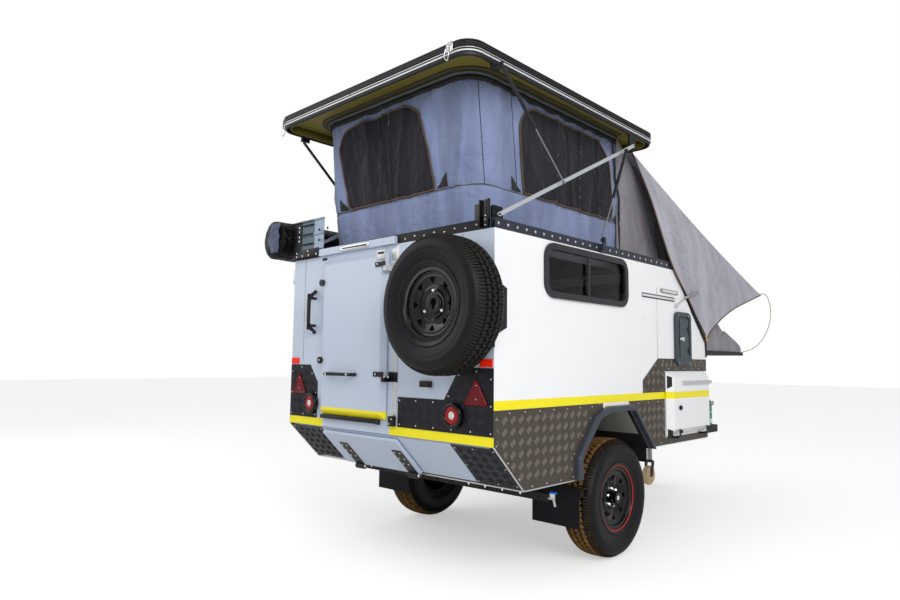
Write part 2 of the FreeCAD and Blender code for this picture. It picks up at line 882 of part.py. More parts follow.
def tyre(axis_at_outer_face, direction):
    """A tyre turned about its axis: the first point is the centre of its outer face."""
    half_tread = tyre_width / 2 * tread_half_share
    bead = rim_width / 2
    crown = tyre_radius
    edge = crown - crown_drop
    shoulder = tyre_radius - shoulder_drop
    bulge = tyre_width / 2
    middle = (tyre_radius + rim_radius) / 2
    inner = rim_radius + seat_gap
    low = inner + bead_rise
    roof = shoulder - bead_step
    outline = [
        (-bead, inner), (-bead - bead_step, low), (-bulge, middle), (-half_tread - crown_drop, shoulder),
        (-half_tread, edge), (0, crown), (half_tread, edge), (half_tread + crown_drop, shoulder),
        (bulge, middle), (bead + bead_step, low), (bead, inner), (bead - tyre_wall, inner),
        (bulge - tyre_wall, middle), (half_tread - tyre_wall, roof), (0, crown - shoulder_drop),
        (-half_tread + tyre_wall, roof), (-bulge + tyre_wall, middle), (-bead + tyre_wall, inner)]
    profile = face_of([V(a, 0, r) for a, r in outline])
    ring = profile.revolve(V(0, 0, 0), X_DIR, 360)
    turn = FreeCAD.Placement(V(0, 0, 0), FreeCAD.Rotation(X_DIR, direction))
    ring.Placement = FreeCAD.Placement(axis_at_outer_face - direction * (tyre_width / 2),
                                       turn.Rotation)
    return ring


def steel_rim(axis_at_outer_face, direction, bore):
    """A pressed steel rim with its dished disc, window holes and hub."""
    edge = rim_width / 2
    outer = rim_radius
    step = outer - rim_lip
    lip = step + rim_lip_rise
    well = step - rim_well
    sheet = rim_sheet
    back = -edge * rim_well_share
    ramp = edge * rim_ramp_share
    barrel = face_of([V(a, 0, r) for a, r in [
        (-edge, outer), (-edge, lip), (back, well), (ramp, well), (edge, lip), (edge, outer),
        (edge - sheet, outer), (edge - sheet, lip + sheet), (ramp, well + sheet), (back, well + sheet),
        (-edge + sheet, lip + sheet), (-edge + sheet, outer)]])
    barrel = barrel.revolve(V(0, 0, 0), X_DIR, 360)
    face_at = edge - rim_disc_set
    swell = face_at + disc_swell
    wide = hub_radius * hub_swell_share
    flat = hub_radius * hub_flat_share
    disc = face_of([V(a, 0, r) for a, r in [
        (face_at - disc_dish, step - disc_edge), (face_at, step - disc_shoulder), (swell, wide),
        (face_at, flat), (face_at, bore), (face_at - sheet, bore), (face_at - sheet, flat),
        (swell - sheet, wide), (face_at - sheet, step - disc_shoulder),
        (face_at - disc_dish - sheet, step - disc_edge)]])
    disc = disc.revolve(V(0, 0, 0), X_DIR, 360)
    hole_circle = (step + wide) / 2 - rim_hole_set
    for index in range(rim_hole_count):
        angle = 2 * math.pi * index / rim_hole_count
        centre = V(-edge, hole_circle * math.cos(angle), hole_circle * math.sin(angle))
        disc = disc.cut(Part.makeCylinder(rim_hole_radius, rim_width * 2, centre, X_DIR))
    rim = joined([barrel, disc])
    rim.Placement = FreeCAD.Placement(axis_at_outer_face - direction * (tyre_width / 2),
                                      FreeCAD.Rotation(X_DIR, direction))
    return rim


disc_back_y = wheel_outer_y - tyre_width / 2 + rim_width / 2 - rim_disc_set - rim_sheet


def wheel_hub(side):
    """The drum, hub and cap that turn on the stub axle, on the left or the right."""
    face = side * disc_back_y
    drum = Part.makeCylinder(hub_radius * drum_share, drum_depth,
                             V(0, face - side * seat_gap, tyre_radius), Y_DIR * (-side))
    cap = Part.makeCylinder(hub_radius * cap_share, cap_length,
                            V(0, face - side * cap_back, tyre_radius), Y_DIR * side)
    hub = joined([drum, cap])
    bore = Part.makeCylinder(stub_radius + running_gap, hub_bore_length,
                             V(0, face - side * hub_bore_back, tyre_radius), Y_DIR * side)
    return hub.cut(bore)


def axle_beam():
    """The square axle with a stub axle at each end."""
    face = disc_back_y
    reach = face - drum_depth - axle_hub_gap
    half = axle_size / 2
    beam = box(-half, half, -reach, reach, tyre_radius - half, tyre_radius + half)
    stub_end = face + stub_reach
    stub = rod_between(V(0, -stub_end, tyre_radius), V(0, stub_end, tyre_radius), stub_radius)
    return joined([beam, stub])


def leaf_spring():
    """A pack of leaves over the axle on one side, with its hangers under the chassis rail."""
    base = tyre_radius + axle_size / 2 + seat_gap
    parts = []
    for index, share in enumerate(leaf_shares):
        low = base + leaf_thick * (len(leaf_shares) - 1 - index)
        parts.append(box(-spring_length * share / 2, spring_length * share / 2,
                         rail_half_y - spring_width / 2, rail_half_y + spring_width / 2,
                         low, low + leaf_thick))
    top = base + leaf_thick * len(leaf_shares)
    for end in (-1, 1):
        parts.append(box(end * spring_length * hanger_share, end * spring_length / 2,
                         rail_half_y - beam_width / 2, rail_half_y + beam_width / 2,
                         top, sill_z - beam_height - seat_gap))
    return joined(parts)


def chassis_frame():
    """The two long rails and the crossmembers under the floor."""
    top = sill_z - seat_gap
    low = top - beam_height
    half = beam_width / 2
    end = front_x
    parts = [box(chassis_rear_x, end, side * rail_half_y - half, side * rail_half_y + half, low, top)
             for side in (-1, 1)]
    for share in crossmember_shares:
        x = chassis_rear_x + half + (end - chassis_rear_x - beam_width) * share
        parts.append(box(x - half, x + half, -rail_half_y, rail_half_y, low, top))
    return joined(parts)


def leg_outer_y(x):
    """The outer face of the drawbar's left leg at a place along it."""
    start = front_x + seat_gap
    share = (x - start) / (drawbar_tip_x - start)
    return rail_half_y + (drawbar_tip_half - rail_half_y) * share + beam_width / 2


def drawbar():
    """The A-shaped drawbar ahead of the chassis, with the lugs for the safety chains."""
    top = sill_z - seat_gap
    low = top - beam_height
    half = beam_width / 2
    start = front_x + seat_gap
    leg = Part.Face(Part.makePolygon([
        V(start, rail_half_y - half, low), V(start, rail_half_y + half, low),
        V(drawbar_tip_x, drawbar_tip_half + half, low), V(drawbar_tip_x, 0, low),
        V(drawbar_tip_x - beam_width * 2, 0, low), V(start, rail_half_y - half, low)]))
    leg = leg.extrude(V(0, 0, beam_height))
    lug_half = chain_lug_size / 2
    lug_y = leg_outer_y(chain_lug_x) - half
    lug = box(chain_lug_x - lug_half, chain_lug_x + lug_half, lug_y - chain_lug_thick / 2,
              lug_y + chain_lug_thick / 2, low - chain_lug_size, low + overrun)
    hole = rod_between(V(chain_lug_x, lug_y - lug_half, low - lug_half),
                       V(chain_lug_x, lug_y + lug_half, low - lug_half), chain_lug_hole_radius)
    side = joined([leg, lug]).cut(hole)
    return joined([side, mirrored(side)])


def coupling_head():
    """The ball coupling: a body on the drawbar's nose with a round socket open below."""
    outer = ball_radius + coupling_wall
    low = coupling_z - ball_radius * 0.6
    centre = V(coupling_x, 0, coupling_z)
    foot = drawbar_tip_x + seat_gap
    nose = Part.makeCylinder(outer, ball_radius * 0.6 + outer, V(coupling_x, 0, low))
    nose = nose.makeFillet(coupling_wall, [max(nose.Edges, key=lambda edge: edge.CenterOfMass.z)])
    half = outer * 0.9
    body = box(foot, coupling_x, -half, half, low, coupling_z + outer * 0.8)
    lever = rod_between(V(foot + outer, 0, coupling_z), V(foot + outer * 0.6, 0, coupling_z + outer * 2.4),
                        coupling_wall / 2)
    head = joined([nose, body, lever])
    socket = Part.makeSphere(ball_radius + ball_clearance, centre)
    throat = Part.makeCylinder(ball_radius * 0.99, outer, centre, -Z_DIR)
    return head.cut(socket).cut(throat)


def roof_outline(inset, z0, z1):
    """A rounded slab in the plan of the roof, moved inwards by the inset."""
    return rounded_block(roof_rear_x + inset, roof_front_x - inset, inset - roof_half,
                         roof_half - inset, z0, z1, roof_corner_radius - inset, Z_DIR)


def roof_shell():
    """The moulded roof: a hollow slab with a crowned and ribbed top."""
    shell = roof_outline(0, roof_lip_z, roof_edge_z)
    inside = roof_outline(roof_skin, roof_lip_z - overrun, roof_edge_z - roof_skin)
    rise = roof_crown_z - roof_edge_z
    inset = roof_crown_inset
    crown = roof_outline(inset / 2, roof_edge_z - overrun, roof_edge_z + rise * roof_shoulder_share)
    middle = rounded_block(roof_rear_x + inset, roof_front_x - inset, inset - roof_half,
                           roof_half - inset, roof_edge_z, roof_edge_z + rise * roof_middle_share,
                           roof_corner_radius / 2, Z_DIR)
    ribs = []
    far = roof_half - roof_rib_inset
    pitch = far * 2 / (roof_ribs - 1)
    for index in range(roof_ribs):
        y = -far + pitch * index
        ribs.append(box(roof_rear_x + roof_rib_inset, roof_front_x - roof_rib_inset, y - pitch / 4,
                        y + pitch / 4, roof_edge_z, roof_crown_z))
    bead = rounded_block(roof_rear_x - trim_proud, roof_front_x + trim_proud, -roof_half - trim_proud,
                         roof_half + trim_proud, trim_z, trim_z + trim_height,
                         roof_corner_radius + trim_proud, Z_DIR)
    return joined([shell, crown, middle, bead] + ribs).cut(inside)


def roof_lining():
    """The flat lining panel under the roof."""
    top = roof_edge_z - roof_skin - seat_gap
    return roof_outline(roof_skin + lining_inset / 4, top - lining_thick, top)


def roof_brackets():
    """The four brackets under the roof's lip: two for the arms and two for the upper struts."""
    outer = arm_inner_y - running_gap * 10
    inner = outer - bracket_sheet
    angle = math.radians(arm_angle)
    pin_x = arm_pivot_x + arm_length * math.cos(angle)
    pin_z = arm_pivot_z + arm_length * math.sin(angle)
    low = pin_z - arm_height * 0.6
    arm_plate = box(pin_x - arm_bracket_half, pin_x + arm_bracket_half, inner, outer, low,
                    roof_lip_z - seat_gap)
    arm_pin = rod_between(V(pin_x, outer - overrun, pin_z),
                          V(pin_x, arm_inner_y + arm_thick + pin_head, pin_z), arm_pin_radius)
    half = strut_bracket_half
    strut_plate = box(upper_strut_roof_x - half, upper_strut_roof_x + half, inner, outer + pin_head,
                      upper_strut_roof_z - strut_bracket_drop, roof_lip_z - seat_gap)
    strut_pin = rod_between(V(upper_strut_roof_x, outer, upper_strut_roof_z),
                            V(upper_strut_roof_x, strut_y + strut_radius, upper_strut_roof_z),
                            strut_eye_bore - running_gap)
    return both(joined([arm_plate, arm_pin])), both(joined([strut_plate, strut_pin]))


def arm_point(distance):
    """A point on the arm's centre line, by its distance from the lower pivot."""
    angle = math.radians(arm_angle)
    return V(arm_pivot_x + distance * math.cos(angle), 0, arm_pivot_z + distance * math.sin(angle))


def lift_arm():
    """One flat lift arm with round ends and a stiffening rib."""
    along = arm_point(1) - arm_point(0)
    up = V(-along.z, 0, along.x)
    half = arm_height / 2
    low = arm_point(0)
    high = arm_point(arm_length)
    corners = [low + up * half, high + up * half, high - up * half, low - up * half]
    plate = face_of([point + V(0, arm_inner_y, 0) for point in corners])
    plate = plate.extrude(V(0, arm_thick, 0))
    ends = [Part.makeCylinder(half, arm_thick, point + V(0, arm_inner_y, 0), Y_DIR)
            for point in (low, high)]
    bores = [Part.makeCylinder(arm_pin_radius + running_gap / 5, arm_thick + overrun * 2,
                               point + V(0, arm_inner_y - overrun, 0), Y_DIR) for point in (low, high)]
    arm = joined([plate] + ends)
    for bore in bores:
        arm = arm.cut(bore)
    stud_from = V(0, arm_inner_y + arm_thick / 2, 0)
    lower_pin = arm_point(lower_strut_arm_at)
    stud = rod_between(lower_pin + stud_from, lower_pin + V(0, strut_y + strut_radius, 0),
                       strut_eye_bore - running_gap)
    return joined([arm, stud])


def strut_cylinder(pivot, end, length):
    """A gas cylinder with an eye at its pivot, pointing at the rod's eye."""
    along = V(end.x - pivot.x, end.y - pivot.y, end.z - pivot.z).normalize()
    tube = tube_between(pivot + along * strut_eye_radius * 1.5, pivot + along * length, strut_radius,
                        strut_rod_radius + running_gap)
    cap = rod_between(pivot, pivot + along * strut_eye_radius * 3, strut_rod_radius)
    eye = Part.makeCylinder(strut_eye_radius, strut_radius * 2, pivot - V(0, strut_radius, 0), Y_DIR)
    hole = Part.makeCylinder(strut_eye_bore, strut_radius * 4, pivot - V(0, strut_radius * 2, 0), Y_DIR)
    plug = rod_between(pivot + along * strut_eye_radius * 1.5, pivot + along * strut_eye_radius * 2.5,
                       strut_radius)
    return joined([tube, cap, plug, eye]).cut(hole)


def strut_rod(pivot, end, length):
    """The rod of a gas strut: it reaches into the cylinder and ends in its eye."""
    along = V(end.x - pivot.x, end.y - pivot.y, end.z - pivot.z).normalize()
    rod = rod_between(pivot + along * (length - rod_engage), end, strut_rod_radius)
    eye = Part.makeCylinder(strut_eye_radius, strut_radius, end - V(0, strut_radius / 2, 0), Y_DIR)
    return joined([rod, eye])


def tent_ring(inset):
    """The tent's outer or inner surface as a solid between its foot and its top."""
    foot_z = eave_z + seat_gap
    sections = []
    for z, rear, front in ((foot_z, tent_rear_low_x, tent_front_low_x),
                           (tent_top_z, tent_rear_high_x, tent_front_high_x)):
        slab = rounded_block(rear + inset, front + overrun, inset - tent_half, tent_half - inset,
                             z, z + overrun, tent_corner - inset, Z_DIR)
        sections.append(min(slab.Faces, key=lambda item: item.CenterOfMass.z).OuterWire)
    return Part.makeLoft(sections, True, True)


def tent_walls():
    """The canvas walls round the raised roof, open at the front and above."""
    ring = tent_ring(0).cut(tent_ring(canvas))
    front = box(tent_front_high_x - tent_corner * 1.2, tent_front_low_x + tent_corner * 2,
                canvas * 2 - tent_half, tent_half - canvas * 2, eave_z - overrun, tent_top_z + overrun)
    return ring.cut(front)


def nose_points(inset):
    """The side view of the nose tent, with its three laced edges left where they are."""
    return [
        (tent_front_high_x + canvas, tent_top_z),
        (nose_tent_top_x - inset, tent_top_z),
        (nose_tent_sag_x - inset, nose_tent_sag_z - inset / 2),
        (platform_front_x - canvas - inset, platform_z + platform_thick + seat_gap),
        (front_x + seat_gap, platform_z + platform_thick + seat_gap),
        (nose_mid_x + canvas, nose_mid_z + canvas * 2),
        (nose_top_x + canvas, eave_z + canvas),
        (tent_front_low_x + canvas, eave_z + canvas),
    ]


def nose_slice(inset):
    """The nose tent's front view, narrower at the roof than at the bed."""
    low = nose_tent_low_half - inset
    high = nose_tent_high_half - inset
    return cross_plate([(-low, platform_z), (-high, tent_top_z + overrun), (high, tent_top_z + overrun),
                        (low, platform_z)], 0, hoop_front_x)


def nose_tent():
    """The inner tent over the bed: two side walls and the sloping front."""
    outer = side_plate(nose_points(0), -half_width, half_width).common(nose_slice(0))
    hollow = [(x, z) for x, z in nose_points(canvas)]
    hollow[0] = (tent_front_high_x - tent_corner, tent_top_z + overrun)
    hollow[1] = (nose_tent_top_x - canvas, tent_top_z + overrun)
    hollow[3] = (platform_front_x - canvas * 3, platform_z)
    hollow[4] = (front_x - overrun, platform_z)
    hollow[5] = (nose_mid_x - overrun, nose_mid_z)
    hollow[6] = (nose_top_x - overrun, eave_z - overrun)
    hollow[7] = (tent_front_low_x - tent_corner, eave_z - overrun)
    inside = side_plate(hollow, -half_width, half_width).common(nose_slice(canvas))
    return outer.cut(inside)


def fly_sheet():
    """The outer awning sheet with its two hanging side wings."""
    wing_points = {
        "top": V(fly_top_x, fly_top_half, fly_top_z),
        "rail": V(fly_rail_x, fly_side_y, fly_rail_z),
        "hem": V(fly_hem_x, fly_hem_half, fly_hem_z),
        "low": V(fly_low_x, fly_side_y, fly_low_z),
    }
    upper = face_of([wing_points["top"], wing_points["hem"], wing_points["rail"]])
    lower = face_of([wing_points["rail"], wing_points["hem"], wing_points["low"]])
    wing = joined([upper.extrude(V(0, canvas, 0)), lower.extrude(V(0, canvas, 0))])
    bow = side_plate([(fly_bow_x, fly_bow_z), (fly_low_x, fly_low_z), (fly_bow_x, fly_low_z),
                      (fly_hem_x, fly_bow_z), (fly_hem_x, fly_hem_z)],
                     fly_hem_half - wall, fly_side_y + wall)
    wing = wing.cut(bow)
    top = face_of([V(fly_top_x, -fly_top_half - canvas, fly_top_z),
                   V(fly_top_x, fly_top_half + canvas, fly_top_z),
                   V(fly_hem_x, fly_hem_half + canvas, fly_hem_z),
                   V(fly_hem_x, -fly_hem_half - canvas, fly_hem_z)])
    return joined([top.extrude(V(0, 0, canvas)), wing, mirrored(wing)])


def spring_rod():
    """The bent rod that holds out one corner of the fly sheet."""
    y = platform_half + hoop_radius + seat_gap
    start = V(hoop_low_x, y, platform_z + platform_thick)
    belly = V(hoop_belly_x, y, hoop_belly_z)
    front = V(hoop_front_x, y, hoop_front_z)
    top = V(hoop_top_x, y, hoop_top_z)
    end = V(fly_hem_x + hoop_radius * 4, y, fly_hem_z + canvas * 2 + hoop_radius * 2)
    parts = [Part.makeSphere(hoop_radius, front)]
    for arc in (Part.Arc(start, belly, front), Part.Arc(front, top, end)):
        edge = arc.toShape()
        first = edge.Vertexes[0].Point
        ring = Part.Face(Part.Wire(Part.makeCircle(hoop_radius, first,
                                                   edge.tangentAt(edge.FirstParameter))))
        parts.append(Part.Wire([edge]).makePipe(ring))
    return joined(parts)


def gas_bottle():
    """The gas bottle on the front tray, with its neck and regulator."""
    foot = sill_z - seat_gap + tray_sheet + seat_gap
    barrel = Part.makeCylinder(bottle_radius, bottle_height, V(bottle_x, bottle_y, foot))
    barrel = barrel.makeFillet(bottle_radius * 0.45, [edge for edge in barrel.Edges if edge.Closed])
    neck = Part.makeCylinder(bottle_neck_radius, bottle_radius * 0.7,
                             V(bottle_x, bottle_y, foot + bottle_height - overrun))
    regulator = rod_between(V(bottle_x - bottle_neck_radius * 2, bottle_y,
                              foot + bottle_height + bottle_neck_radius * 2),
                            V(bottle_x + bottle_neck_radius * 2, bottle_y,
                              foot + bottle_height + bottle_neck_radius * 2), bottle_neck_radius * 0.8)
    return joined([barrel, neck, regulator])


def front_tray():
    """The open tray over the drawbar that holds the gas bottles."""
    low = sill_z - seat_gap
    floor = box(tray_rear_x, tray_front_x, -tray_half, tray_half, low, low + tray_sheet)
    outer = box(tray_rear_x, tray_front_x, -tray_half, tray_half, low, low + tray_height)
    inner = box(tray_rear_x + tray_sheet, tray_front_x - tray_sheet, tray_sheet - tray_half,
                tray_half - tray_sheet, low - overrun, low + tray_height + overrun)
    return joined([floor, outer.cut(inner)])


def mudflap_bar():
    """The cross tube that carries the mudflaps, with its two hangers."""
    tube = tube_between(V(flap_x, -flap_bar_half, flap_bar_z), V(flap_x, flap_bar_half, flap_bar_z),
                        flap_bar_radius, flap_bar_radius - flare_sheet / 2)
    hangers = [box(flap_x - beam_width / 2, flap_x + beam_width / 2, side * rail_half_y - flare_sheet,
                   side * rail_half_y + flare_sheet, flap_bar_z + flap_bar_radius * 0.95,
                   sill_z - beam_height - seat_gap * 2) for side in (-1, 1)]
    return joined([tube] + hangers)


def mudflap():
    """One rubber flap that hangs behind a wheel."""
    return box(flap_x - flap_bar_radius - flap_thick - seat_gap, flap_x - flap_bar_radius - seat_gap,
               flap_inner_y, flap_outer_y, flap_low_z, flap_bar_z + flap_bar_radius)


def rear_channel():
    """The perforated cross channel under the skirt, hung from the chassis rails."""
    top = channel_z
    low = top - channel_size
    web = box(channel_x, channel_x + channel_sheet, -channel_half, channel_half, low, top)
    flange = box(channel_x, channel_x + channel_size, -channel_half, channel_half,
                 top - channel_sheet, top)
    pitch = channel_half * 2 / channel_holes
    for index in range(channel_holes):
        y = -channel_half + pitch * (index + 0.5)
        web = web.cut(Part.makeCylinder(channel_hole_radius, channel_sheet * 4,
                                        V(channel_x - channel_sheet, y, top - channel_size / 2), X_DIR))
    hangers = [box(channel_x + channel_sheet, channel_x + channel_size, side * rail_half_y - overrun,
                   side * rail_half_y + overrun, top - channel_sheet, skirt_z - seat_gap)
               for side in (-1, 1)]
    return joined([web, flange] + hangers)


def water_tap():
    """The drain tap beside the channel's right end."""
    x = channel_x + channel_sheet / 2
    y = -channel_half - seat_gap
    z = channel_z - channel_size / 2
    body = rod_between(V(x, y, z), V(x, y - tap_length, z), tap_radius)
    spout = rod_between(V(x, y - tap_length * 0.85, z), V(x, y - tap_length * 1.15, z - tap_length * 1.15),
                        tap_radius * 0.8)
    lever = rounded_block(x - tap_radius * 1.3, x + tap_radius * 1.3, y - tap_length, y - tap_length * 0.3,
                          z + tap_radius * 0.7, z + tap_radius * 3.3, tap_radius * 0.6, Z_DIR)
    return joined([body, spout, lever])


def awning_bag():
    """The rolled side awning in its bag on the left."""
    seat = half_width + awning_seat_out
    start = V(awning_rear_x, seat + awning_radius * awning_flat_share, awning_z)
    bag = Part.makeCylinder(awning_radius, awning_length, start, X_DIR)
    flat = box(awning_rear_x - overrun, awning_rear_x + awning_length + overrun,
               half_width - awning_radius, seat, awning_z - awning_radius, awning_z + awning_radius)
    return bag.cut(flat)


def awning_bracket(x):
    """One bracket that carries the awning bag on the left side."""
    inner = half_width + seat_gap
    outer = half_width + awning_seat_out - seat_gap
    return box(x - awning_bracket_half, x + awning_bracket_half, inner, outer,
               eave_z - awning_bracket_half, awning_z + awning_radius)


def awning_rear_plate():
    """The plate behind the tent that carries the bag's rear end, with its stiffening fins and feet."""
    outer = half_width + awning_seat_out - seat_gap
    back = rear_x - awning_plate_out
    low = eave_z + awning_fin
    plate = box(back - awning_plate_sheet, back, awning_plate_inner_y, outer, rail_top_z - awning_fin,
                awning_plate_high_z)
    foot = box(back - awning_plate_sheet, rear_x - seat_gap, header_left_y + awning_fin, outer, low,
               rail_top_z - awning_fin)
    fins = []
    height = awning_plate_high_z - rail_top_z
    for share in (0, 0.5, 1):
        z = rail_top_z + (height - awning_fin) * share
        fins.append(box(back - awning_plate_sheet - awning_fin, back, awning_plate_inner_y, outer, z,
                        z + awning_fin))
    return joined([plate, foot] + fins)


def jockey_clamp():
    """The outer tube of the jockey stand with its clamp on the drawbar."""
    centre = V(jockey_x, jockey_y, jockey_tube_low_z)
    top = V(jockey_x, jockey_y, jockey_tube_high_z)
    tube = tube_between(centre, top, jockey_tube_radius, jockey_leg_radius + running_gap)
    low = sill_z - beam_height + overrun
    ends = (jockey_x - jockey_tube_radius, jockey_x + jockey_tube_radius)
    plan = [V(x, leg_outer_y(x) + seat_gap, low) for x in ends]
    plan += [V(x, jockey_y, low) for x in reversed(ends)]
    arm = face_of(plan).extrude(V(0, 0, beam_height - overrun * 2))
    bore = rod_between(V(jockey_x, jockey_y, low - overrun), V(jockey_x, jockey_y, sill_z + overrun),
                       jockey_leg_radius + running_gap)
    return joined([tube, arm.cut(bore)])


def jockey_leg():
    """The sliding inner tube of the jockey stand and its crank handle."""
    low = V(jockey_x, jockey_y, jockey_wheel_radius * 2 + jockey_fork_rise)
    high = V(jockey_x, jockey_y, jockey_tube_high_z + jockey_leg_rise)
    leg = rod_between(low, high, jockey_leg_radius)
    crank_z = jockey_tube_high_z + crank_rise
    crank = rod_between(V(jockey_x, jockey_y, crank_z), V(jockey_x - crank_length, jockey_y, crank_z),
                        crank_radius)
    return joined([leg, crank])


def jockey_fork():
    """The swivelling fork under the leg."""
    top = jockey_wheel_radius * 2 + jockey_fork_rise - seat_gap
    low = top - crown_height
    shelf = top - cheek_drop
    crown = Part.makeCylinder(jockey_leg_radius * crown_share, crown_height, V(jockey_x, jockey_y, low))
    cheek = jockey_wheel_width / 2 + cheek_gap
    axle_x = jockey_x - jockey_trail
    foot = jockey_wheel_radius - cheek_drop
    parts = [crown]
    for side in (-1, 1):
        parts.append(side_plate([
            (jockey_x + cheek_front, shelf), (jockey_x - cheek_rear, shelf), (axle_x - cheek_tip, foot),
            (axle_x + cheek_tip, foot)],
            jockey_y + side * cheek, jockey_y + side * (cheek + cheek_sheet)))
    outer = cheek + cheek_sheet
    parts.append(box(jockey_x - cheek_rear, jockey_x + cheek_front, jockey_y - outer, jockey_y + outer,
                     low, shelf))
    head = cheek + jockey_pin_head
    parts.append(rod_between(V(axle_x, jockey_y - head, jockey_wheel_radius),
                             V(axle_x, jockey_y + head, jockey_wheel_radius), jockey_pin_radius))
    return joined(parts)


def jockey_wheel():
    """The small solid wheel of the jockey stand."""
    axle = V(jockey_x - jockey_trail, jockey_y - jockey_wheel_width / 2, jockey_wheel_radius)
    tread = Part.makeCylinder(jockey_wheel_radius, jockey_wheel_width, axle, Y_DIR)
    tread = tread.makeFillet(jockey_wheel_width * 0.2, [edge for edge in tread.Edges if edge.Closed])
    return tread.cut(Part.makeCylinder(jockey_pin_radius + running_gap / 2, jockey_wheel_width + overrun * 2,
                                       axle - V(0, overrun, 0), Y_DIR))


def rear_door():
    """The pan door that stands proud of the rear wall."""
    inner = rear_x - move_gap
    slab = box(inner - door_thick, inner, door_right_y, door_left_y, door_low_z, door_high_z)
    return bevelled_block(slab, door_bevel, -X_DIR)


door_face_x = rear_x - move_gap - door_thick
door_pin_x = door_face_x - door_pin_out
door_pin_y = door_right_y - door_pin_side


def hinge_plates():
    """The body halves of the door's hinges, each with its pin."""
    parts = []
    for z in (door_hinge_low_z, door_hinge_high_z):
        low = z - door_hinge_height / 2
        high = z + door_hinge_height / 2
        leaf = box(rear_x - seat_gap - tread_sheet * 2, rear_x - seat_gap, door_plate_far_y,
                   door_pin_y - hinge_knuckle_radius, low, high)
        arm = box(door_pin_x, rear_x - seat_gap, door_pin_y - hinge_knuckle_radius * 3,
                  door_pin_y - hinge_knuckle_radius * 1.5, low, z - seat_gap)
        knuckle = Part.makeCylinder(hinge_knuckle_radius, door_hinge_height / 2 - seat_gap,
                                    V(door_pin_x, door_pin_y, low))
        link = box(door_pin_x - hinge_knuckle_radius * 0.8, door_pin_x + hinge_knuckle_radius * 0.8,
                   door_pin_y - hinge_knuckle_radius * 3, door_pin_y, low, z - seat_gap)
        pin = Part.makeCylinder(hinge_pin_radius, door_hinge_height, V(door_pin_x, door_pin_y, low))
        parts.append(joined([leaf, arm, link, knuckle, pin]))
    return Part.makeCompound(parts)


def door_fittings():
    """The door's hinge leaves, its two locks and its bar handle."""
    parts = []
    skin = door_face_x - seat_gap
    for z in (door_hinge_low_z, door_hinge_high_z):
        high = z + door_hinge_height / 2
        knuckle = Part.makeCylinder(hinge_knuckle_radius, door_hinge_height / 2 - seat_gap,
                                    V(door_pin_x, door_pin_y, z + seat_gap))
        leaf = box(door_pin_x, skin - seat_gap, door_pin_y, door_right_y + door_bevel + door_leaf_length,
                   z + seat_gap, high)
        bore = Part.makeCylinder(hinge_pin_radius + running_gap / 5, door_hinge_height,
                                 V(door_pin_x, door_pin_y, z))
        parts.append(joined([knuckle, leaf]).cut(bore))
    for z in (lock_low_z, lock_high_z):
        parts.append(Part.makeCylinder(lock_radius, lock_proud, V(skin, lock_y, z), -X_DIR))
    parts.append(bar_handle(V(skin, door_handle_y0, door_handle_z), V(skin, door_handle_y1, door_handle_z),
                            V(-door_handle_out, 0, 0), door_handle_radius))
    return Part.makeCompound(parts)


def step_hatch():
    """The pan lid of the step recess, on the slope."""
    slab = slope_block(hatch_margin, slope_length - hatch_margin, hatch_right_y, hatch_left_y,
                       move_gap, move_gap + hatch_thick)
    return slab


def kitchen_hatch():
    """The pan lid of the kitchen box."""
    inner = half_width + move_gap
    slab = box(kitchen_rear_x, kitchen_front_x, -inner - kitchen_thick, -inner, kitchen_low_z,
               kitchen_high_z)
    slab = bevelled_block(slab, kitchen_bevel, -Y_DIR)
    return slab


def kitchen_handle():
    """The bar handle and the lock of the kitchen hatch."""
    skin = -(half_width + move_gap + kitchen_thick + seat_gap)
    thick = kitchen_handle_thick
    handle = box(kitchen_handle_x0, kitchen_handle_x1, skin - thick, skin, kitchen_handle_z - thick,
                 kitchen_handle_z + thick)
    lock = Part.makeCylinder(kitchen_lock_radius, kitchen_lock_proud,
                             V(kitchen_lock_x, skin, kitchen_lock_z), -Y_DIR)
    return Part.makeCompound([handle, lock])


def platform():
    """The bed platform that reaches out of the nose."""
    return box(front_x + seat_gap, platform_front_x, -platform_half, platform_half, platform_z,
               platform_z + platform_thick)


def lid_hinge(pin, axis, over_lid, out, pin_height, length, spread):
    """A knuckle hinge at its pin: the lid's half, and the body's half with the pin."""
    width = lid_hinge_width / 2
    first = pin + axis * running_gap
    knuckle = rod_between(first, pin + axis * width, hinge_knuckle_radius)
    base = first + out * (seat_gap - lid_pin_out)
    leaf = slab(base, axis * (width - running_gap), over_lid * length, out * lid_leaf_thick)
    if spread > 0:
        strap = slab(pin - axis * (spread / 2) + over_lid * (hinge_knuckle_radius * 2)
                     + out * (seat_gap - lid_pin_out), axis * spread,
                     over_lid * (length - hinge_knuckle_radius * 2), out * lid_leaf_thick)
        leaf = joined([leaf, strap])
    bore = rod_between(pin - axis * overrun, pin + axis * (width + overrun),
                       lid_pin_radius + running_gap / 5)
    lid_half = joined([knuckle, leaf]).cut(bore)
    body_knuckle = rod_between(pin - axis * width, pin, hinge_knuckle_radius)
    post = slab(pin - axis * width - out * (pin_height - seat_gap), axis * width,
                over_lid * (-hinge_knuckle_radius * 2), out * (pin_height + seat_gap))
    shaft = rod_between(pin - axis * width, pin + axis * width, lid_pin_radius)
    return lid_half, joined([body_knuckle, post, shaft])


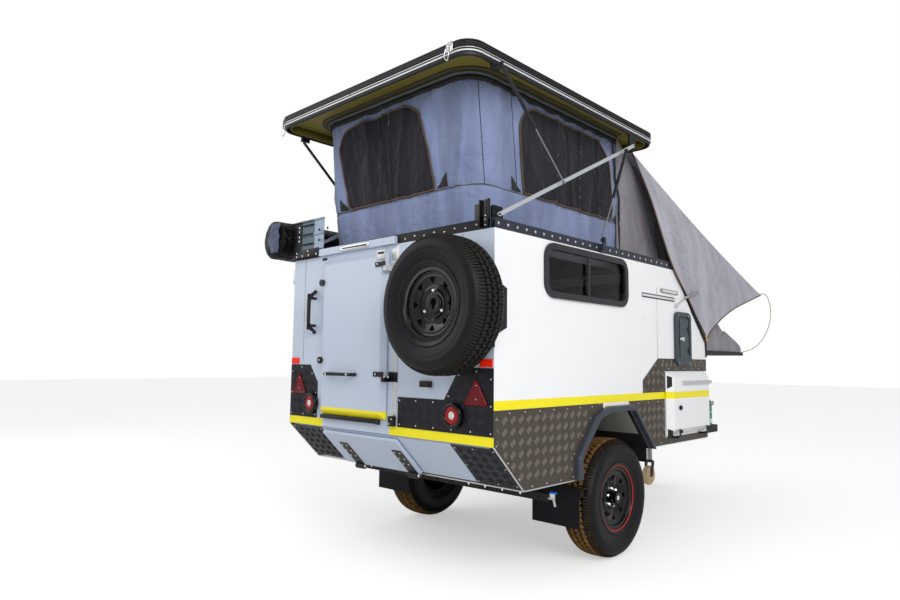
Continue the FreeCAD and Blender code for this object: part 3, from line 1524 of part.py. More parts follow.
def kitchen_hinges():
    """The two hinges under the kitchen hatch: the lid's halves and the body's halves."""
    height = move_gap + kitchen_thick + lid_pin_out
    inset = (kitchen_front_x - kitchen_rear_x) * kitchen_hinge_share
    pairs = [lid_hinge(V(x, -half_width - height, kitchen_low_z - lid_pin_drop), X_DIR, Z_DIR, -Y_DIR,
                       height - tread_sheet - seat_gap, kitchen_leaf_length, 0)
             for x in (kitchen_rear_x + inset, kitchen_front_x - inset)]
    return [pair[0] for pair in pairs], [pair[1] for pair in pairs]


def step_hinges():
    """The two hinges at the foot of the step hatch: the lid's halves and the body's halves."""
    height = move_gap + hatch_thick + lid_pin_out
    foot = slope_top + slope_down * (slope_length - hatch_margin + lid_pin_drop) + slope_out * height
    pairs = [lid_hinge(foot + V(0, y, 0), Y_DIR, slope_down * -1, slope_out, height, step_leaf_length,
                       step_leaf_width)
             for y in step_hinge_ys]
    return [pair[0] for pair in pairs], [pair[1] for pair in pairs]


def strut_foot():
    """The bracket on one side rail at the lower strut's rod eye, open above."""
    half = strut_radius * 1.6
    outer = strut_y + strut_radius + bracket_sheet
    inner = strut_y + strut_radius + lid_pin_out
    low = eave_z + lid_pin_drop
    block = box(lower_strut_rail_x - half, lower_strut_rail_x + half, half_width + seat_gap, outer,
                low, rail_top_z - move_gap)
    ear = box(lower_strut_rail_x - half, lower_strut_rail_x + half, inner, outer, low,
              lower_strut_rail_z + half)
    return joined([block, ear])


def make_nodes():
    """Every node of the trailer by name."""
    left_wall = side_wall()
    arm_brackets, strut_brackets = roof_brackets()
    outer_left = V(0, wheel_outer_y, tyre_radius)
    outer_right = V(0, -wheel_outer_y, tyre_radius)
    spare_at = V(spare_outer_x, spare_y, spare_z)
    bore = stub_radius + running_gap
    rail_eye = V(lower_strut_rail_x, strut_y, lower_strut_rail_z)
    roof_eye = V(upper_strut_roof_x, strut_y, upper_strut_roof_z)
    upper_arm_eye = arm_point(upper_strut_arm_at) + V(0, strut_y, 0)
    lower_arm_eye = arm_point(lower_strut_arm_at) + V(0, strut_y, 0)
    kitchen_leaves, kitchen_posts = kitchen_hinges()
    step_leaves, step_posts = step_hinges()
    nodes = {
        "chassis_frame": chassis_frame(),
        "drawbar": drawbar(),
        "coupling_head": coupling_head(),
        "axle_beam": axle_beam(),
        "leaf_springs": both(leaf_spring()),
        "floor_panels": Part.makeCompound([cabin_floor(), skirt_floor()]),
        "side_wall_left": left_wall,
        "side_wall_right": mirrored(left_wall).cut(
            kitchen_opening(-half_width - overrun, overrun + wall - half_width)),
        "rear_wall": Part.makeCompound([rear_wall(), lamp_header()]),
        "rear_skirt": rear_skirt(),
        "front_wall": front_wall(),
        "nose_frame": nose_frame(),
        "deck_ring": deck_ring(),
        "roof_rails": Part.makeCompound([both(side_rail()), rear_rail(), both(corner_bracket()),
                                        both(strut_foot())]),
        "wheel_arches": both(wheel_arch()),
        "arch_flares": both(arch_flare()),
        "tread_plates": Part.makeCompound([side_tread_plates(), rear_tread_plates()]),
        "window_frames": both(window_frame()),
        "window_glass": both(window_pane()),
        "kitchen_box": kitchen_box(),
        "rear_lamps": rear_lamps(),
        "body_fittings": Part.makeCompound([
            hinge_plates(), grab_handle()] + kitchen_posts + step_posts),
        "utility_box": utility_box(),
        "spare_carrier": spare_carrier(),
        "spare_tyre": tyre(spare_at, -X_DIR),
        "spare_rim": steel_rim(spare_at, -X_DIR, bore),
        "awning_bag": awning_bag(),
        "awning_brackets": Part.makeCompound([awning_bracket(x) for x in awning_bracket_xs]
                                             + [awning_rear_plate()]),
        "under_bars": Part.makeCompound([mudflap_bar(), rear_channel()]),
        "mudflaps": both(mudflap()),
        "water_tap": water_tap(),
        "front_tray": front_tray(),
        "gas_bottle": gas_bottle(),
        "jockey_clamp": jockey_clamp(),
        "bed_platform": platform(),
        "tent_walls": tent_walls(),
        "nose_tent": nose_tent(),
        "fly_sheet": fly_sheet(),
        "spring_rods": both(spring_rod()),
        "rear_door": rear_door(),
        "door_fittings": door_fittings(),
        "step_hatch": step_hatch(),
        "step_hinges": Part.makeCompound(step_leaves),
        "kitchen_hatch": kitchen_hatch(),
        "kitchen_fittings": Part.makeCompound(kitchen_leaves + [kitchen_handle()]),
        "lift_arms": both(lift_arm()),
        "roof_shell": roof_shell(),
        "roof_fittings": Part.makeCompound([roof_lining(), arm_brackets, strut_brackets]),
        "upper_cylinders": both(strut_cylinder(roof_eye, upper_arm_eye, upper_cylinder_length)),
        "upper_rods": both(strut_rod(roof_eye, upper_arm_eye, upper_cylinder_length)),
        "lower_cylinders": both(strut_cylinder(lower_arm_eye, rail_eye, lower_cylinder_length)),
        "lower_rods": both(strut_rod(lower_arm_eye, rail_eye, lower_cylinder_length)),
    }
    for name, side, outer in (("left", 1, outer_left), ("right", -1, outer_right)):
        nodes["tyre_" + name] = tyre(outer, Y_DIR * side)
        nodes["rim_" + name] = Part.makeCompound([steel_rim(outer, Y_DIR * side, hub_radius + seat_gap),
                                                  wheel_hub(side)])
    nodes["jockey_leg"] = jockey_leg()
    nodes["jockey_fork"] = jockey_fork()
    nodes["jockey_wheel"] = jockey_wheel()
    return nodes


os.makedirs("parts", exist_ok=True)
for node_name, node_shape in make_nodes().items():
    placed = node_shape.copy()
    placed.translate(V(-coupling_x, 0, -coupling_z))
    placed.exportStep("parts/" + node_name + ".step")
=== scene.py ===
"""The looks of an off-road camper trailer, added round its construction model.

Every place is in metres on the ground frame, with the axle at x = 0 and the ground at z = 0. mesh_object
moves what it makes to the row frame.
"""
import math

import bmesh
import bpy
import numpy as np
from mathutils import Matrix, Vector


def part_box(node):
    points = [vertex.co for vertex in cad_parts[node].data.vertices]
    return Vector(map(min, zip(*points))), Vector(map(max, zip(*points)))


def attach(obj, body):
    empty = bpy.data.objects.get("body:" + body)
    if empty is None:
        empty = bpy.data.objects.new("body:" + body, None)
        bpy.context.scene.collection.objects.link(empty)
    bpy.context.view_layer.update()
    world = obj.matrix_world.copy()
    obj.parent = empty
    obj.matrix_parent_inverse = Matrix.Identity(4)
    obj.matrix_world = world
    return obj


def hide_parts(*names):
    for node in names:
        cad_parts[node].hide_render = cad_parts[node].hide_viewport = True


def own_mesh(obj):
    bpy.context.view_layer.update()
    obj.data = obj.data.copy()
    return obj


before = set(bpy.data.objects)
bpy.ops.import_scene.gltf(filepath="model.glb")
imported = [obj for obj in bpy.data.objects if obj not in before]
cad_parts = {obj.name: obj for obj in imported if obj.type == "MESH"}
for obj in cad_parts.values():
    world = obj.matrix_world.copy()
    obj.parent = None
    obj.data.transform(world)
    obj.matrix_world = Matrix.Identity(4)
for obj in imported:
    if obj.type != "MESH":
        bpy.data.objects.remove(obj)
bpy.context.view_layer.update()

bl_info = {
    "name": "Camper trailer dressing",
    "version": (1, 0, 0),
    "blender": (4, 5, 0),
    "location": "View3D > Sidebar > Trailer",
    "description": "Tyres, canvas, trim and finishes for an off-road camper trailer",
    "category": "Add Mesh",
}

TYRE_LOW, TYRE_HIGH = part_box("tyre_left")
GROUND_Z = TYRE_LOW[2]
OFFSET = np.array([(TYRE_LOW[0] + TYRE_HIGH[0]) / 2, 0.0, GROUND_Z])


def at(x, y, z):
    """A ground frame point in the row frame: x from the axle, y to the left, z above the ground."""
    return np.array([x, y, z], dtype=float) + OFFSET


def box(node):
    """A CAD node's lowest and highest corner in the ground frame."""
    return [np.array(corner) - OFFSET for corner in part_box(node)]


def rgb(red, green, blue):
    """A screen colour of 0 to 255 as linear values: each share to the power 2.4, near enough."""
    shares = np.array([red, green, blue]) / 255.0
    linear = np.where(shares <= 0.04045, shares / 12.92, ((shares + 0.055) / 1.055) ** 2.4)
    return tuple(float(value) for value in linear)


REAR_X, _, _ = box("side_wall_left")[0]
_, BODY_HALF, EAVE_Z = box("side_wall_left")[1]
DOOR_FACE = box("rear_door")[0][0]
UP = np.array([0.0, 0.0, 1.0])
BACK = (-1, 0, 0)
SIDES = (("left", 1), ("right", -1))
MATERIALS = {}
GROUPS = {}


def colour_property(name, description, default):
    """A colour setting with its default."""
    return bpy.props.FloatVectorProperty(name=name, description=description, subtype="COLOR",
                                         size=3, min=0.0, max=1.0, default=default)


def length_property(name, description, default):
    """A length setting in metres with its default."""
    return bpy.props.FloatProperty(name=name, description=description, default=default,
                                   unit="LENGTH", subtype="DISTANCE")


class TrailerColours(bpy.types.PropertyGroup):
    """The colours that a user would change."""
    panel: colour_property("Panel", "White cabin panels", rgb(250, 251, 253))
    stripe: colour_property("Stripe", "Yellow stripes", rgb(255, 240, 0))
    # Painted shade: the rear's panels are the same white paint, drawn in the blue grey they take in the shade.
    rear_panel: colour_property("Rear panel", "Cabin panels in the shade of the rear", rgb(198, 210, 228))
    canvas: colour_property("Canvas", "Tent walls", rgb(126, 139, 174))
    fly: colour_property("Fly", "Fly sheet and bed tent", rgb(172, 171, 184))
    mesh_window: colour_property("Mesh window", "Insect mesh of the tent windows", rgb(40, 40, 47))
    tread_plate: colour_property("Tread plate", "Patterned side plates", rgb(78, 71, 64))
    rear_tread: colour_property("Rear tread plate", "Patterned plates of the rear", rgb(27, 27, 33))
    roof: colour_property("Roof", "Moulded roof", rgb(48, 47, 52))
    rim_ring: colour_property("Rim ring", "Thin ring on the steel rims", rgb(196, 44, 40))
    dust: colour_property("Dust", "Road dust on tyres and low parts", rgb(150, 112, 58))
    bottle: colour_property("Bottle", "Gas bottle", rgb(10, 138, 92))


class TrailerSizes(bpy.types.PropertyGroup):
    """The sizes that a user would change."""
    tread_depth: length_property("Tread depth", "Height of the tyre's blocks", 0.010)
    canvas_fold: length_property("Canvas fold", "Depth of the canvas folds", 0.022)
    piping: length_property("Piping", "Radius of the canvas piping", 0.006)
    rail_hole: length_property("Rail hole", "Radius of the bright dots on the rail", 0.009)
    rivet: length_property("Rivet", "Radius of the rivet heads", 0.0055)


def colour(name):
    """One of the scene's colour settings."""
    return tuple(getattr(bpy.context.scene.trailer_colours, name))


def size(name):
    """One of the scene's size settings."""
    return getattr(bpy.context.scene.trailer_sizes, name)


def angles(count):
    """Even steps round a full turn."""
    return np.linspace(0, 2 * math.pi, count, endpoint=False)


def smooth_noise(first, second, seed, waves=7):
    """A soft field in -1 to 1: a sum of sines with fixed directions and phases from the seed."""
    draw = np.random.default_rng(seed)
    total = np.zeros_like(np.asarray(first, dtype=float))
    for _ in range(waves):
        turn = draw.uniform(0, 2 * math.pi)
        phase = draw.uniform(0, 2 * math.pi)
        rate = draw.uniform(0.6, 2.2)
        total = total + np.sin(rate * (np.cos(turn) * first + np.sin(turn) * second) + phase)
    return total / waves


def pleats(run, height, seed, rate=9.0):
    """Upright cloth folds of 0 to 1: a ridge (1 - |n|) ** 4 wherever a field n stretched along the height
    crosses zero, so that the folds are narrow lines with broad slack between them."""
    field = smooth_noise(run * rate, height * rate * 0.16, seed, 5) * 2.2
    return np.clip(1 - np.abs(field), 0, 1) ** 4


def unit(vector):
    """A vector made one long."""
    return np.asarray(vector, dtype=float) / np.linalg.norm(vector)


def mesh_object(name, vertices, faces, finish, body="trailer", smooth=True):
    """A painted mesh from ground frame points, riding on a body."""
    mesh = bpy.data.meshes.new(name)
    vertices = np.asarray(vertices, dtype=float) + OFFSET
    mesh.from_pydata(vertices.tolist(), [], [list(face) for face in faces])
    mesh.polygons.foreach_set("use_smooth", np.full(len(mesh.polygons), smooth))
    mesh.update()
    made = bpy.data.objects.new(name, mesh)
    bpy.context.scene.collection.objects.link(made)
    if body:
        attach(made, body)
    if finish:
        mesh.materials.append(MATERIALS[finish])
    return made


def face_outwards(made, normal=None):
    """Points every face of a closed mesh outwards, or every face of an open one along a normal."""
    work = bmesh.new()
    work.from_mesh(made.data)
    if normal is None:
        bmesh.ops.recalc_face_normals(work, faces=work.faces)
    else:
        for face in work.faces:
            if face.normal.dot(Vector(normal)) < 0:
                face.normal_flip()
    work.to_mesh(made.data)
    work.free()
    return made


def add_modifier(made, kind, **settings):
    """A modifier with its settings."""
    modifier = made.modifiers.new(kind.lower(), kind)
    for key, value in settings.items():
        setattr(modifier, key, value)


def grid_faces(rows, columns, close_rows=False, close_columns=False):
    """Four-sided faces of a grid of points, row by row, with either way closed into a ring."""
    i = np.arange(rows if close_rows else rows - 1)
    j = np.arange(columns if close_columns else columns - 1)
    i, j = np.meshgrid(i, j, indexing="ij")
    next_i = (i + 1) % rows
    next_j = (j + 1) % columns
    corners = (i * columns + j, next_i * columns + j, next_i * columns + next_j, i * columns + next_j)
    return np.stack([corner.ravel() for corner in corners], axis=1)


def grid_object(name, points, finish, body="trailer", flip=False, thick=0.0, offset=0.0):
    """A surface from an array of points (rows, columns, 3), with its own UV map in metres: the mean steps
    along and across, added up. Cloth gets its thickness."""
    rows, columns = points.shape[:2]
    faces = grid_faces(rows, columns)
    made = mesh_object(name, points.reshape(-1, 3), faces[:, ::-1] if flip else faces, finish, body)
    steps = [np.linalg.norm(np.diff(points, axis=axis), axis=2).mean(axis=1 - axis) for axis in (1, 0)]
    values = np.stack(np.meshgrid(*(np.append(0.0, np.cumsum(step)) for step in steps)), axis=2)
    layer = made.data.uv_layers.new(name="UVMap")
    index = np.empty(len(made.data.loops), dtype=np.int32)
    made.data.loops.foreach_get("vertex_index", index)
    layer.data.foreach_set("uv", values.reshape(-1, 2)[index].ravel())
    if thick:
        add_modifier(made, "SOLIDIFY", thickness=thick, offset=offset)
    return made


def resample(points, count):
    """The same path with points at equal steps along its length."""
    points = np.asarray(points, dtype=float)
    steps = np.linalg.norm(np.diff(points, axis=0), axis=1)
    length = np.append(0.0, np.cumsum(steps))
    wanted = np.linspace(0.0, length[-1], count)
    return np.stack([np.interp(wanted, length, points[:, axis]) for axis in range(3)], axis=1)


def smooth_path(points, count):
    """A soft curve through chosen points: a Catmull-Rom curve, then equal steps."""
    points = np.asarray(points, dtype=float)
    padded = np.vstack([2 * points[0] - points[1], points, 2 * points[-1] - points[-2]])
    t = np.linspace(0.0, 1.0, 24)[:, None]
    runs = []
    for index in range(1, len(padded) - 2):
        before, start, end, after = padded[index - 1:index + 3]
        runs.append(0.5 * (2 * start + (end - before) * t
                           + (2 * before - 5 * start + 4 * end - after) * t ** 2
                           + (3 * start - before - 3 * end + after) * t ** 3))
    return resample(np.vstack(runs), count)


def closed_path(corners, count):
    """Equal steps round a closed outline, whose first corner ends it as well."""
    corners = np.asarray(corners, dtype=float)
    if corners.shape[1] == 2:
        corners = np.column_stack([corners, np.zeros(len(corners))])
    return resample(np.vstack([corners, corners[:1]]), count)[:-1]


def tube(name, points, radius, finish, sides=6, closed=False, body="trailer"):
    """A round profile carried along a path, with closed ends. Each side direction is carried on from the
    last and made square to the path."""
    points = np.asarray(points, dtype=float)
    tangents = np.gradient(points, axis=0)
    tangents /= np.linalg.norm(tangents, axis=1)[:, None]
    side = np.cross(tangents[0], np.array([0.0, 1.0, 0.0]) if abs(tangents[0] @ UP) > 0.9 else UP)
    across = np.empty_like(points)
    for index, tangent in enumerate(tangents):
        side = unit(side - tangent * (side @ tangent))
        across[index] = side
    turn = angles(sides)[None, :, None]
    ring = across[:, None] * np.cos(turn) + np.cross(tangents, across)[:, None] * np.sin(turn)
    faces = [tuple(face) for face in grid_faces(len(points), sides, closed, True)]
    if not closed:
        last = (len(points) - 1) * sides
        faces.append(tuple(range(sides)))
        faces.append(tuple(reversed(range(last, last + sides))))
    grid = points[:, None] + ring * radius
    return face_outwards(mesh_object(name, grid.reshape(-1, 3), faces, finish, body))


def lathe(name, profile, centre, axis, finish, body="trailer", steps=128):
    """A closed profile of (along, radius) pairs turned round an axis."""
    axis = unit(axis)
    first = unit(np.cross(axis, UP if abs(axis[2]) < 0.9 else np.array([1.0, 0.0, 0.0])))
    second = np.cross(axis, first)
    profile = np.asarray(profile, dtype=float)
    turn = angles(steps)[:, None]
    ring = first * np.cos(turn) + second * np.sin(turn)
    grid = np.asarray(centre) + axis * profile[None, :, :1] + ring[:, None] * profile[None, :, 1:]
    faces = grid_faces(steps, len(profile), True, True)
    return face_outwards(mesh_object(name, grid.reshape(-1, 3), faces, finish, body))


def copies(name, vertices, faces, places, finish, turn=np.eye(3), smooth=False, body="trailer"):
    """One joined mesh of a small shape, turned by one matrix and repeated at many places."""
    vertices = np.asarray(vertices, dtype=float)
    places = np.asarray(places, dtype=float)
    points = np.einsum("ij,vj->vi", turn, vertices) + places[:, None]
    shifts = range(0, len(places) * len(vertices), len(vertices))
    joined = [tuple(int(index) + shift for index in face) for shift in shifts for face in faces]
    return mesh_object(name, points.reshape(-1, 3), joined, finish, body, smooth)


def facing(normal):
    """The matrix that turns z to a normal and y as near to up as it can be."""
    normal = unit(normal)
    side = unit(np.cross(UP, normal))
    return np.stack([side, np.cross(normal, side), normal], axis=1)


def domes(name, places, radius, height, sides, finish, normal, body="trailer"):
    """Domed heads at many places on a face: rings shrink as a cosine while they rise as a sine."""
    rings = 3
    rise = np.linspace(0, math.pi / 2, rings + 1)[:-1, None]
    turn = angles(sides)
    points = np.stack([radius * np.cos(rise) * np.cos(turn), radius * np.cos(rise) * np.sin(turn),
                       height * np.sin(rise) * np.ones(sides)], axis=2).reshape(-1, 3)
    faces = [tuple(face) for face in grid_faces(rings, sides, False, True)[:, ::-1]]
    last = (rings - 1) * sides
    faces += [(last + i, last + (i + 1) % sides, rings * sides) for i in range(sides)]
    faces.append(tuple(reversed(range(sides))))
    points = np.vstack([points, [[0, 0, height]]])
    return copies(name, points, faces, places, finish, facing(normal), True, body)


def rivets(name, places, radius=None, finish="rivet_steel", normal=BACK, body="trailer"):
    """Bright domed heads on a face: rivets, or bolts by their own radius."""
    radius = radius or size("rivet")
    return domes(name, places, radius, radius * 0.55, 12, finish, normal, body)


def slab(name, low, high, finish, bevel=0.002, body="trailer", segments=2):
    """A painted bevelled block between two corners."""
    low, high = np.minimum(low, high), np.maximum(low, high)
    picks = np.array([[i, j, k] for k in (0, 1) for j in (0, 1) for i in (0, 1)])
    faces = [(0, 2, 3, 1), (4, 5, 7, 6), (0, 1, 5, 4), (2, 6, 7, 3), (0, 4, 6, 2), (1, 3, 7, 5)]
    made = mesh_object(name, np.where(picks == 0, low, high), faces, finish, body)
    if bevel:
        add_modifier(made, "BEVEL", width=bevel, segments=segments)
    return made


def prism(name, outline, origin, first, second, depth, finish, bevel=0.0, body="trailer"):
    """A flat outline in two directions, carried through a depth vector."""
    outline = np.asarray(outline, dtype=float)
    base = np.asarray(origin) + outline[:, :1] * np.asarray(first) + outline[:, 1:] * np.asarray(second)
    count = len(outline)
    faces = [tuple(range(count)), tuple(reversed(range(count, 2 * count)))]
    faces += [(i, (i + 1) % count, (i + 1) % count + count, i + count) for i in range(count)]
    made = mesh_object(name, np.vstack([base, base + np.asarray(depth)]), faces, finish, body, False)
    if bevel:
        add_modifier(made, "BEVEL", width=bevel, segments=2)
    return face_outwards(made)


def rod(name, points, radius, finish, body="trailer"):
    """A painted round bar along straight runs between points."""
    return tube(name, resample(points, 40), radius, finish, 10, body=body)


def round_outline(width, height, top, low=None, steps=8):
    """A rounded rectangle about the origin, by the radius of its top and of its low corners: four quarter
    circles joined by straight runs."""
    low = low or top
    parts = []
    for index, (x, y, radius) in enumerate(((1, 1, top), (-1, 1, top), (-1, -1, low), (1, -1, low))):
        angle = np.linspace(0, math.pi / 2, steps) + index * math.pi / 2
        centre = np.array([x * (width / 2 - radius), y * (height / 2 - radius)])
        parts.append(centre + radius * np.column_stack([np.cos(angle), np.sin(angle)]))
    return np.vstack(parts)


def plug(tree, socket, value):
    """Gives a socket its value: another socket, a number or a colour."""
    if isinstance(value, bpy.types.NodeSocket):
        tree.links.new(value, socket)
    elif isinstance(value, (tuple, list)):
        socket.default_value = tuple(value)[:3] + (1.0,) * (len(socket.default_value) - 3)
    else:
        socket.default_value = value


def feed(tree, node, **values):
    """Plugs a node's inputs by their names in small letters."""
    for name, value in values.items():
        plug(tree, next(item for item in node.inputs if item.name.lower() == name.replace("_", " ")), value)
    return node


def add_node(tree, kind, **values):
    """A new shader node with its inputs plugged."""
    return feed(tree, tree.nodes.new("ShaderNode" + kind), **values)


def noise_node(tree, vector, scale, detail=3.0, distortion=0.0):
    """A noise texture's value on a vector."""
    return add_node(tree, "TexNoise", vector=vector, scale=scale, detail=detail, roughness=0.55,
                    distortion=distortion).outputs["Fac"]


def math_node(tree, operation, first, second=None, clamp=False):
    """A math node of sockets or numbers."""
    node = tree.nodes.new("ShaderNodeMath")
    node.operation = operation
    node.use_clamp = clamp
    for socket, value in zip(node.inputs, (first, second)):
        if value is not None:
            plug(tree, socket, value)
    return node.outputs[0]


def above(tree, value, limit):
    """1 where a socket's value is over a limit, else 0."""
    return math_node(tree, "GREATER_THAN", value, limit)


def ramp_node(tree, value, low, high):
    """A smooth step of a value from low to high."""
    node = add_node(tree, "MapRange", value=value, from_min=low, from_max=high)
    node.interpolation_type = "SMOOTHSTEP"
    return node.outputs["Result"]


def mix_node(tree, share, first, second):
    """A colour mix of sockets or colours."""
    node = tree.nodes.new("ShaderNodeMix")
    node.data_type = "RGBA"
    for index, value in ((0, share), (6, first), (7, second)):
        plug(tree, node.inputs[index], value)
    return node.outputs[2]


def split_node(tree, vector):
    """The three shares of a vector by their letters."""
    outputs = add_node(tree, "SeparateXYZ", vector=vector).outputs
    return {letter: outputs[letter] for letter in "XYZ"}


def bump_node(tree, height, strength, distance):
    """A relief from a height."""
    return add_node(tree, "Bump", height=height, strength=strength, distance=distance)


def group_start(key, name, outputs, **values):
    """An empty shader group with its inputs by their values: a None is a vector and a tuple a colour."""
    group = bpy.data.node_groups.new(name, "ShaderNodeTree")
    for label, value in values.items():
        kind = "Vector" if value is None else "Color" if isinstance(value, tuple) else "Float"
        made = group.interface.new_socket(label, in_out="INPUT", socket_type="NodeSocket" + kind)
        if value is not None:
            made.default_value = value
    for label, kind in outputs:
        group.interface.new_socket(label, in_out="OUTPUT", socket_type="NodeSocket" + kind)
    GROUPS[key] = group
    return group, group.nodes.new("NodeGroupInput").outputs, group.nodes.new("NodeGroupOutput")


def build_groups():
    """The shared effects: soil that settles low down, fine grain, cloth weave and painted stripes."""
    group, given, end = group_start("dust", "Road dust", (("Colour", "Color"), ("Mask", "Float")), Vector=None,
                                    Colour=(0.5, 0.5, 0.5, 1), Dust=(0.3, 0.2, 0.1, 1), Amount=0.3, Scale=12.0)
    noise = noise_node(group, given["Vector"], given["Scale"], 5.0)
    mask = math_node(group, "MULTIPLY", ramp_node(group, noise, 0.32, 0.75), given["Amount"], True)
    feed(group, end, colour=mix_node(group, mask, given["Colour"], given["Dust"]), mask=mask)

    group, given, end = group_start("grain", "Fine grain", (("Height", "Float"), ("Fleck", "Float")),
                                    Vector=None, Scale=400.0, Depth=0.2)
    noise = noise_node(group, given["Vector"], given["Scale"], 2.0)
    feed(group, end, height=math_node(group, "MULTIPLY", noise, given["Depth"]), fleck=noise)

    group, given, end = group_start("weave", "Cloth weave", (("Height", "Float"), ("Shade", "Float")),
                                    Vector=None, Threads=900.0, Depth=0.3)
    split = split_node(group, given["Vector"])
    waves = [math_node(group, "SINE", math_node(group, "MULTIPLY", split[axis], given["Threads"]))
             for axis in "XY"]
    product = math_node(group, "MULTIPLY", *waves)
    slub = noise_node(group, given["Vector"], 60.0, 4.0)
    total = math_node(group, "ADD", product, slub)
    feed(group, end, height=math_node(group, "MULTIPLY", total, given["Depth"]), shade=slub)

    group, given, end = group_start("stripe", "Paint stripe", (("Mask", "Float"),), Height=0.0, Low=0.0,
                                    High=1.0)
    over = above(group, given["Height"], given["Low"])
    under = math_node(group, "LESS_THAN", given["Height"], given["High"])
    feed(group, end, mask=math_node(group, "MULTIPLY", over, under))


def place_group(tree, key, **values):
    """A placed group with its own values, as sockets or numbers."""
    node = tree.nodes.new("ShaderNodeGroup")
    node.node_tree = GROUPS[key]
    return feed(tree, node, **values)


def tone(base, share):
    """A colour made darker or lighter by a share."""
    return tuple(min(1.0, channel * share) for channel in base)


def finish(name, base, roughness=0.5, metallic=0.0, grain=0.15, grain_scale=300.0, variation=0.06, bump=0.15,
           dust=0.0, dust_scale=9.0, shine=0.35):
    """A material with a plain colour that varies softly, a fine grain and optional road dust. It gives its
    tree, shader, colour, coordinates and relief."""
    made = bpy.data.materials.new(name)
    made.use_nodes = True
    tree = made.node_tree
    where = tree.nodes.new("ShaderNodeTexCoord").outputs["Object"]
    cloud = noise_node(tree, where, 5.0, 4.0)
    shade = mix_node(tree, cloud, tone(base, 1 - variation), tone(base, 1 + variation))
    rough = ramp_node(tree, cloud, 0.2, 0.8)
    span = add_node(tree, "MapRange", value=rough, to_min=max(0.02, roughness - 0.05),
                    to_max=min(1.0, roughness + 0.06))
    if dust:
        shade = place_group(tree, "dust", vector=where, colour=shade, dust=colour("dust"), amount=dust,
                            scale=dust_scale).outputs["Colour"]
    height = place_group(tree, "grain", vector=where, scale=grain_scale, depth=grain).outputs["Height"]
    relief = bump_node(tree, height, bump, 0.001)
    shader = feed(tree, tree.nodes["Principled BSDF"], metallic=metallic, specular_ior_level=shine,
                  roughness=span.outputs["Result"], base_color=shade, normal=relief.outputs["Normal"])
    MATERIALS[name] = made
    return tree, shader, shade, where, relief


def cloth(name, base, threads=1500.0, roughness=0.85, sheen=0.25, variation=0.10, streaks=0.1, creases=0.0):
    """Woven cloth on the piece's own UV map, with slubs, soft blotches of lighter and darker tone, upright
    streaks of painted fold shade, sheen and sharp creases of a depth in metres: height = -2 |noise - 0.5|."""
    tree, shader, shade, where, relief = finish(name, base, roughness, variation=variation, shine=0.15)
    own = tree.nodes.new("ShaderNodeUVMap").outputs["UV"]
    weave = place_group(tree, "weave", vector=own, threads=threads, depth=0.5)
    feed(tree, relief, strength=0.35, distance=0.0006, height=weave.outputs["Height"])
    if creases:
        noise = noise_node(tree, where, 3.2, 4.0, 1.1)
        folded = math_node(tree, "ABSOLUTE", math_node(tree, "SUBTRACT", noise, 0.5))
        fold = add_node(tree, "Bump", strength=1.0, distance=creases)
        feed(tree, fold, height=math_node(tree, "MULTIPLY", folded, -2.0))
        feed(tree, relief, normal=fold.outputs["Normal"])
    tint = mix_node(tree, weave.outputs["Shade"], tone(base, 0.86), tone(base, 1.12))
    blended = mix_node(tree, 0.5, shade, tint)
    # Painted shade: upright light and dark streaks stand for the shading of the cloth's folds.
    stretch = add_node(tree, "Mapping", scale=(7.0, 7.0, 1.1), vector=where)
    streak = ramp_node(tree, noise_node(tree, stretch.outputs["Vector"], 1.0, 5.0), 0.32, 0.68)
    fold_shade = mix_node(tree, streak, tone(base, 1 - streaks), tone(base, 1 + streaks))
    feed(tree, shader, base_color=mix_node(tree, 0.55, blended, fold_shade), sheen_weight=sheen,
         sheen_roughness=0.5)


def stripe_mask(tree, height, low, high):
    """1 between two heights above the ground."""
    return place_group(tree, "stripe", height=height, low=low + GROUND_Z, high=high + GROUND_Z).outputs["Mask"]


def panel(name, base, low, high, gap=None, end=None):
    """Gloss panel paint with one yellow stripe between two heights above the ground, left out between the two
    widths of a gap. A side wall's end tells the colour, low and high of its faces on the rear plane, a colour
    of painted shade, and its faces inside the body are dark."""
    tree, shader, shade, where, _ = finish(name, base, 0.32, grain=0.05, variation=0.015, bump=0.05)
    split = split_node(tree, where)
    mask = stripe_mask(tree, split["Z"], low, high)
    if gap:
        inside = math_node(tree, "MULTIPLY", above(tree, split["Y"], gap[0]),
                           math_node(tree, "LESS_THAN", split["Y"], gap[1]))
        mask = math_node(tree, "MULTIPLY", mask, math_node(tree, "SUBTRACT", 1.0, inside))
    painted = mix_node(tree, mask, shade, colour("stripe"))
    if end:
        width = math_node(tree, "ABSOLUTE", split["Y"])
        painted = mix_node(tree, above(tree, width, BODY_HALF - 0.001), rgb(24, 24, 26), painted)
        # Painted shade: the side walls' faces on the rear plane take the rear's shaded colour.
        end_paint = mix_node(tree, stripe_mask(tree, split["Z"], *end[1:]), end[0], colour("stripe"))
        ahead = above(tree, split["X"], REAR_X + OFFSET[0] + 0.0005)
        painted = mix_node(tree, ahead, end_paint, painted)
    feed(tree, shader, base_color=painted, coat_weight=0.25, coat_roughness=0.12)


def banded(name, first, *bands, **settings):
    """A material that changes its colour past each limit along an axis: bands hold an axis, a limit on the
    ground frame and a colour each, and a small letter counts from the middle outwards."""
    tree, shader, shade, where, _ = finish(name, first, **settings)
    split = split_node(tree, where)
    for axis, limit, after in bands:
        value = split[axis.upper()]
        if axis.islower():
            value = math_node(tree, "ABSOLUTE", value)
        limit += OFFSET["XYZ".index(axis.upper())]
        shade = mix_node(tree, above(tree, value, limit), shade, after)
    feed(tree, shader, base_color=shade)


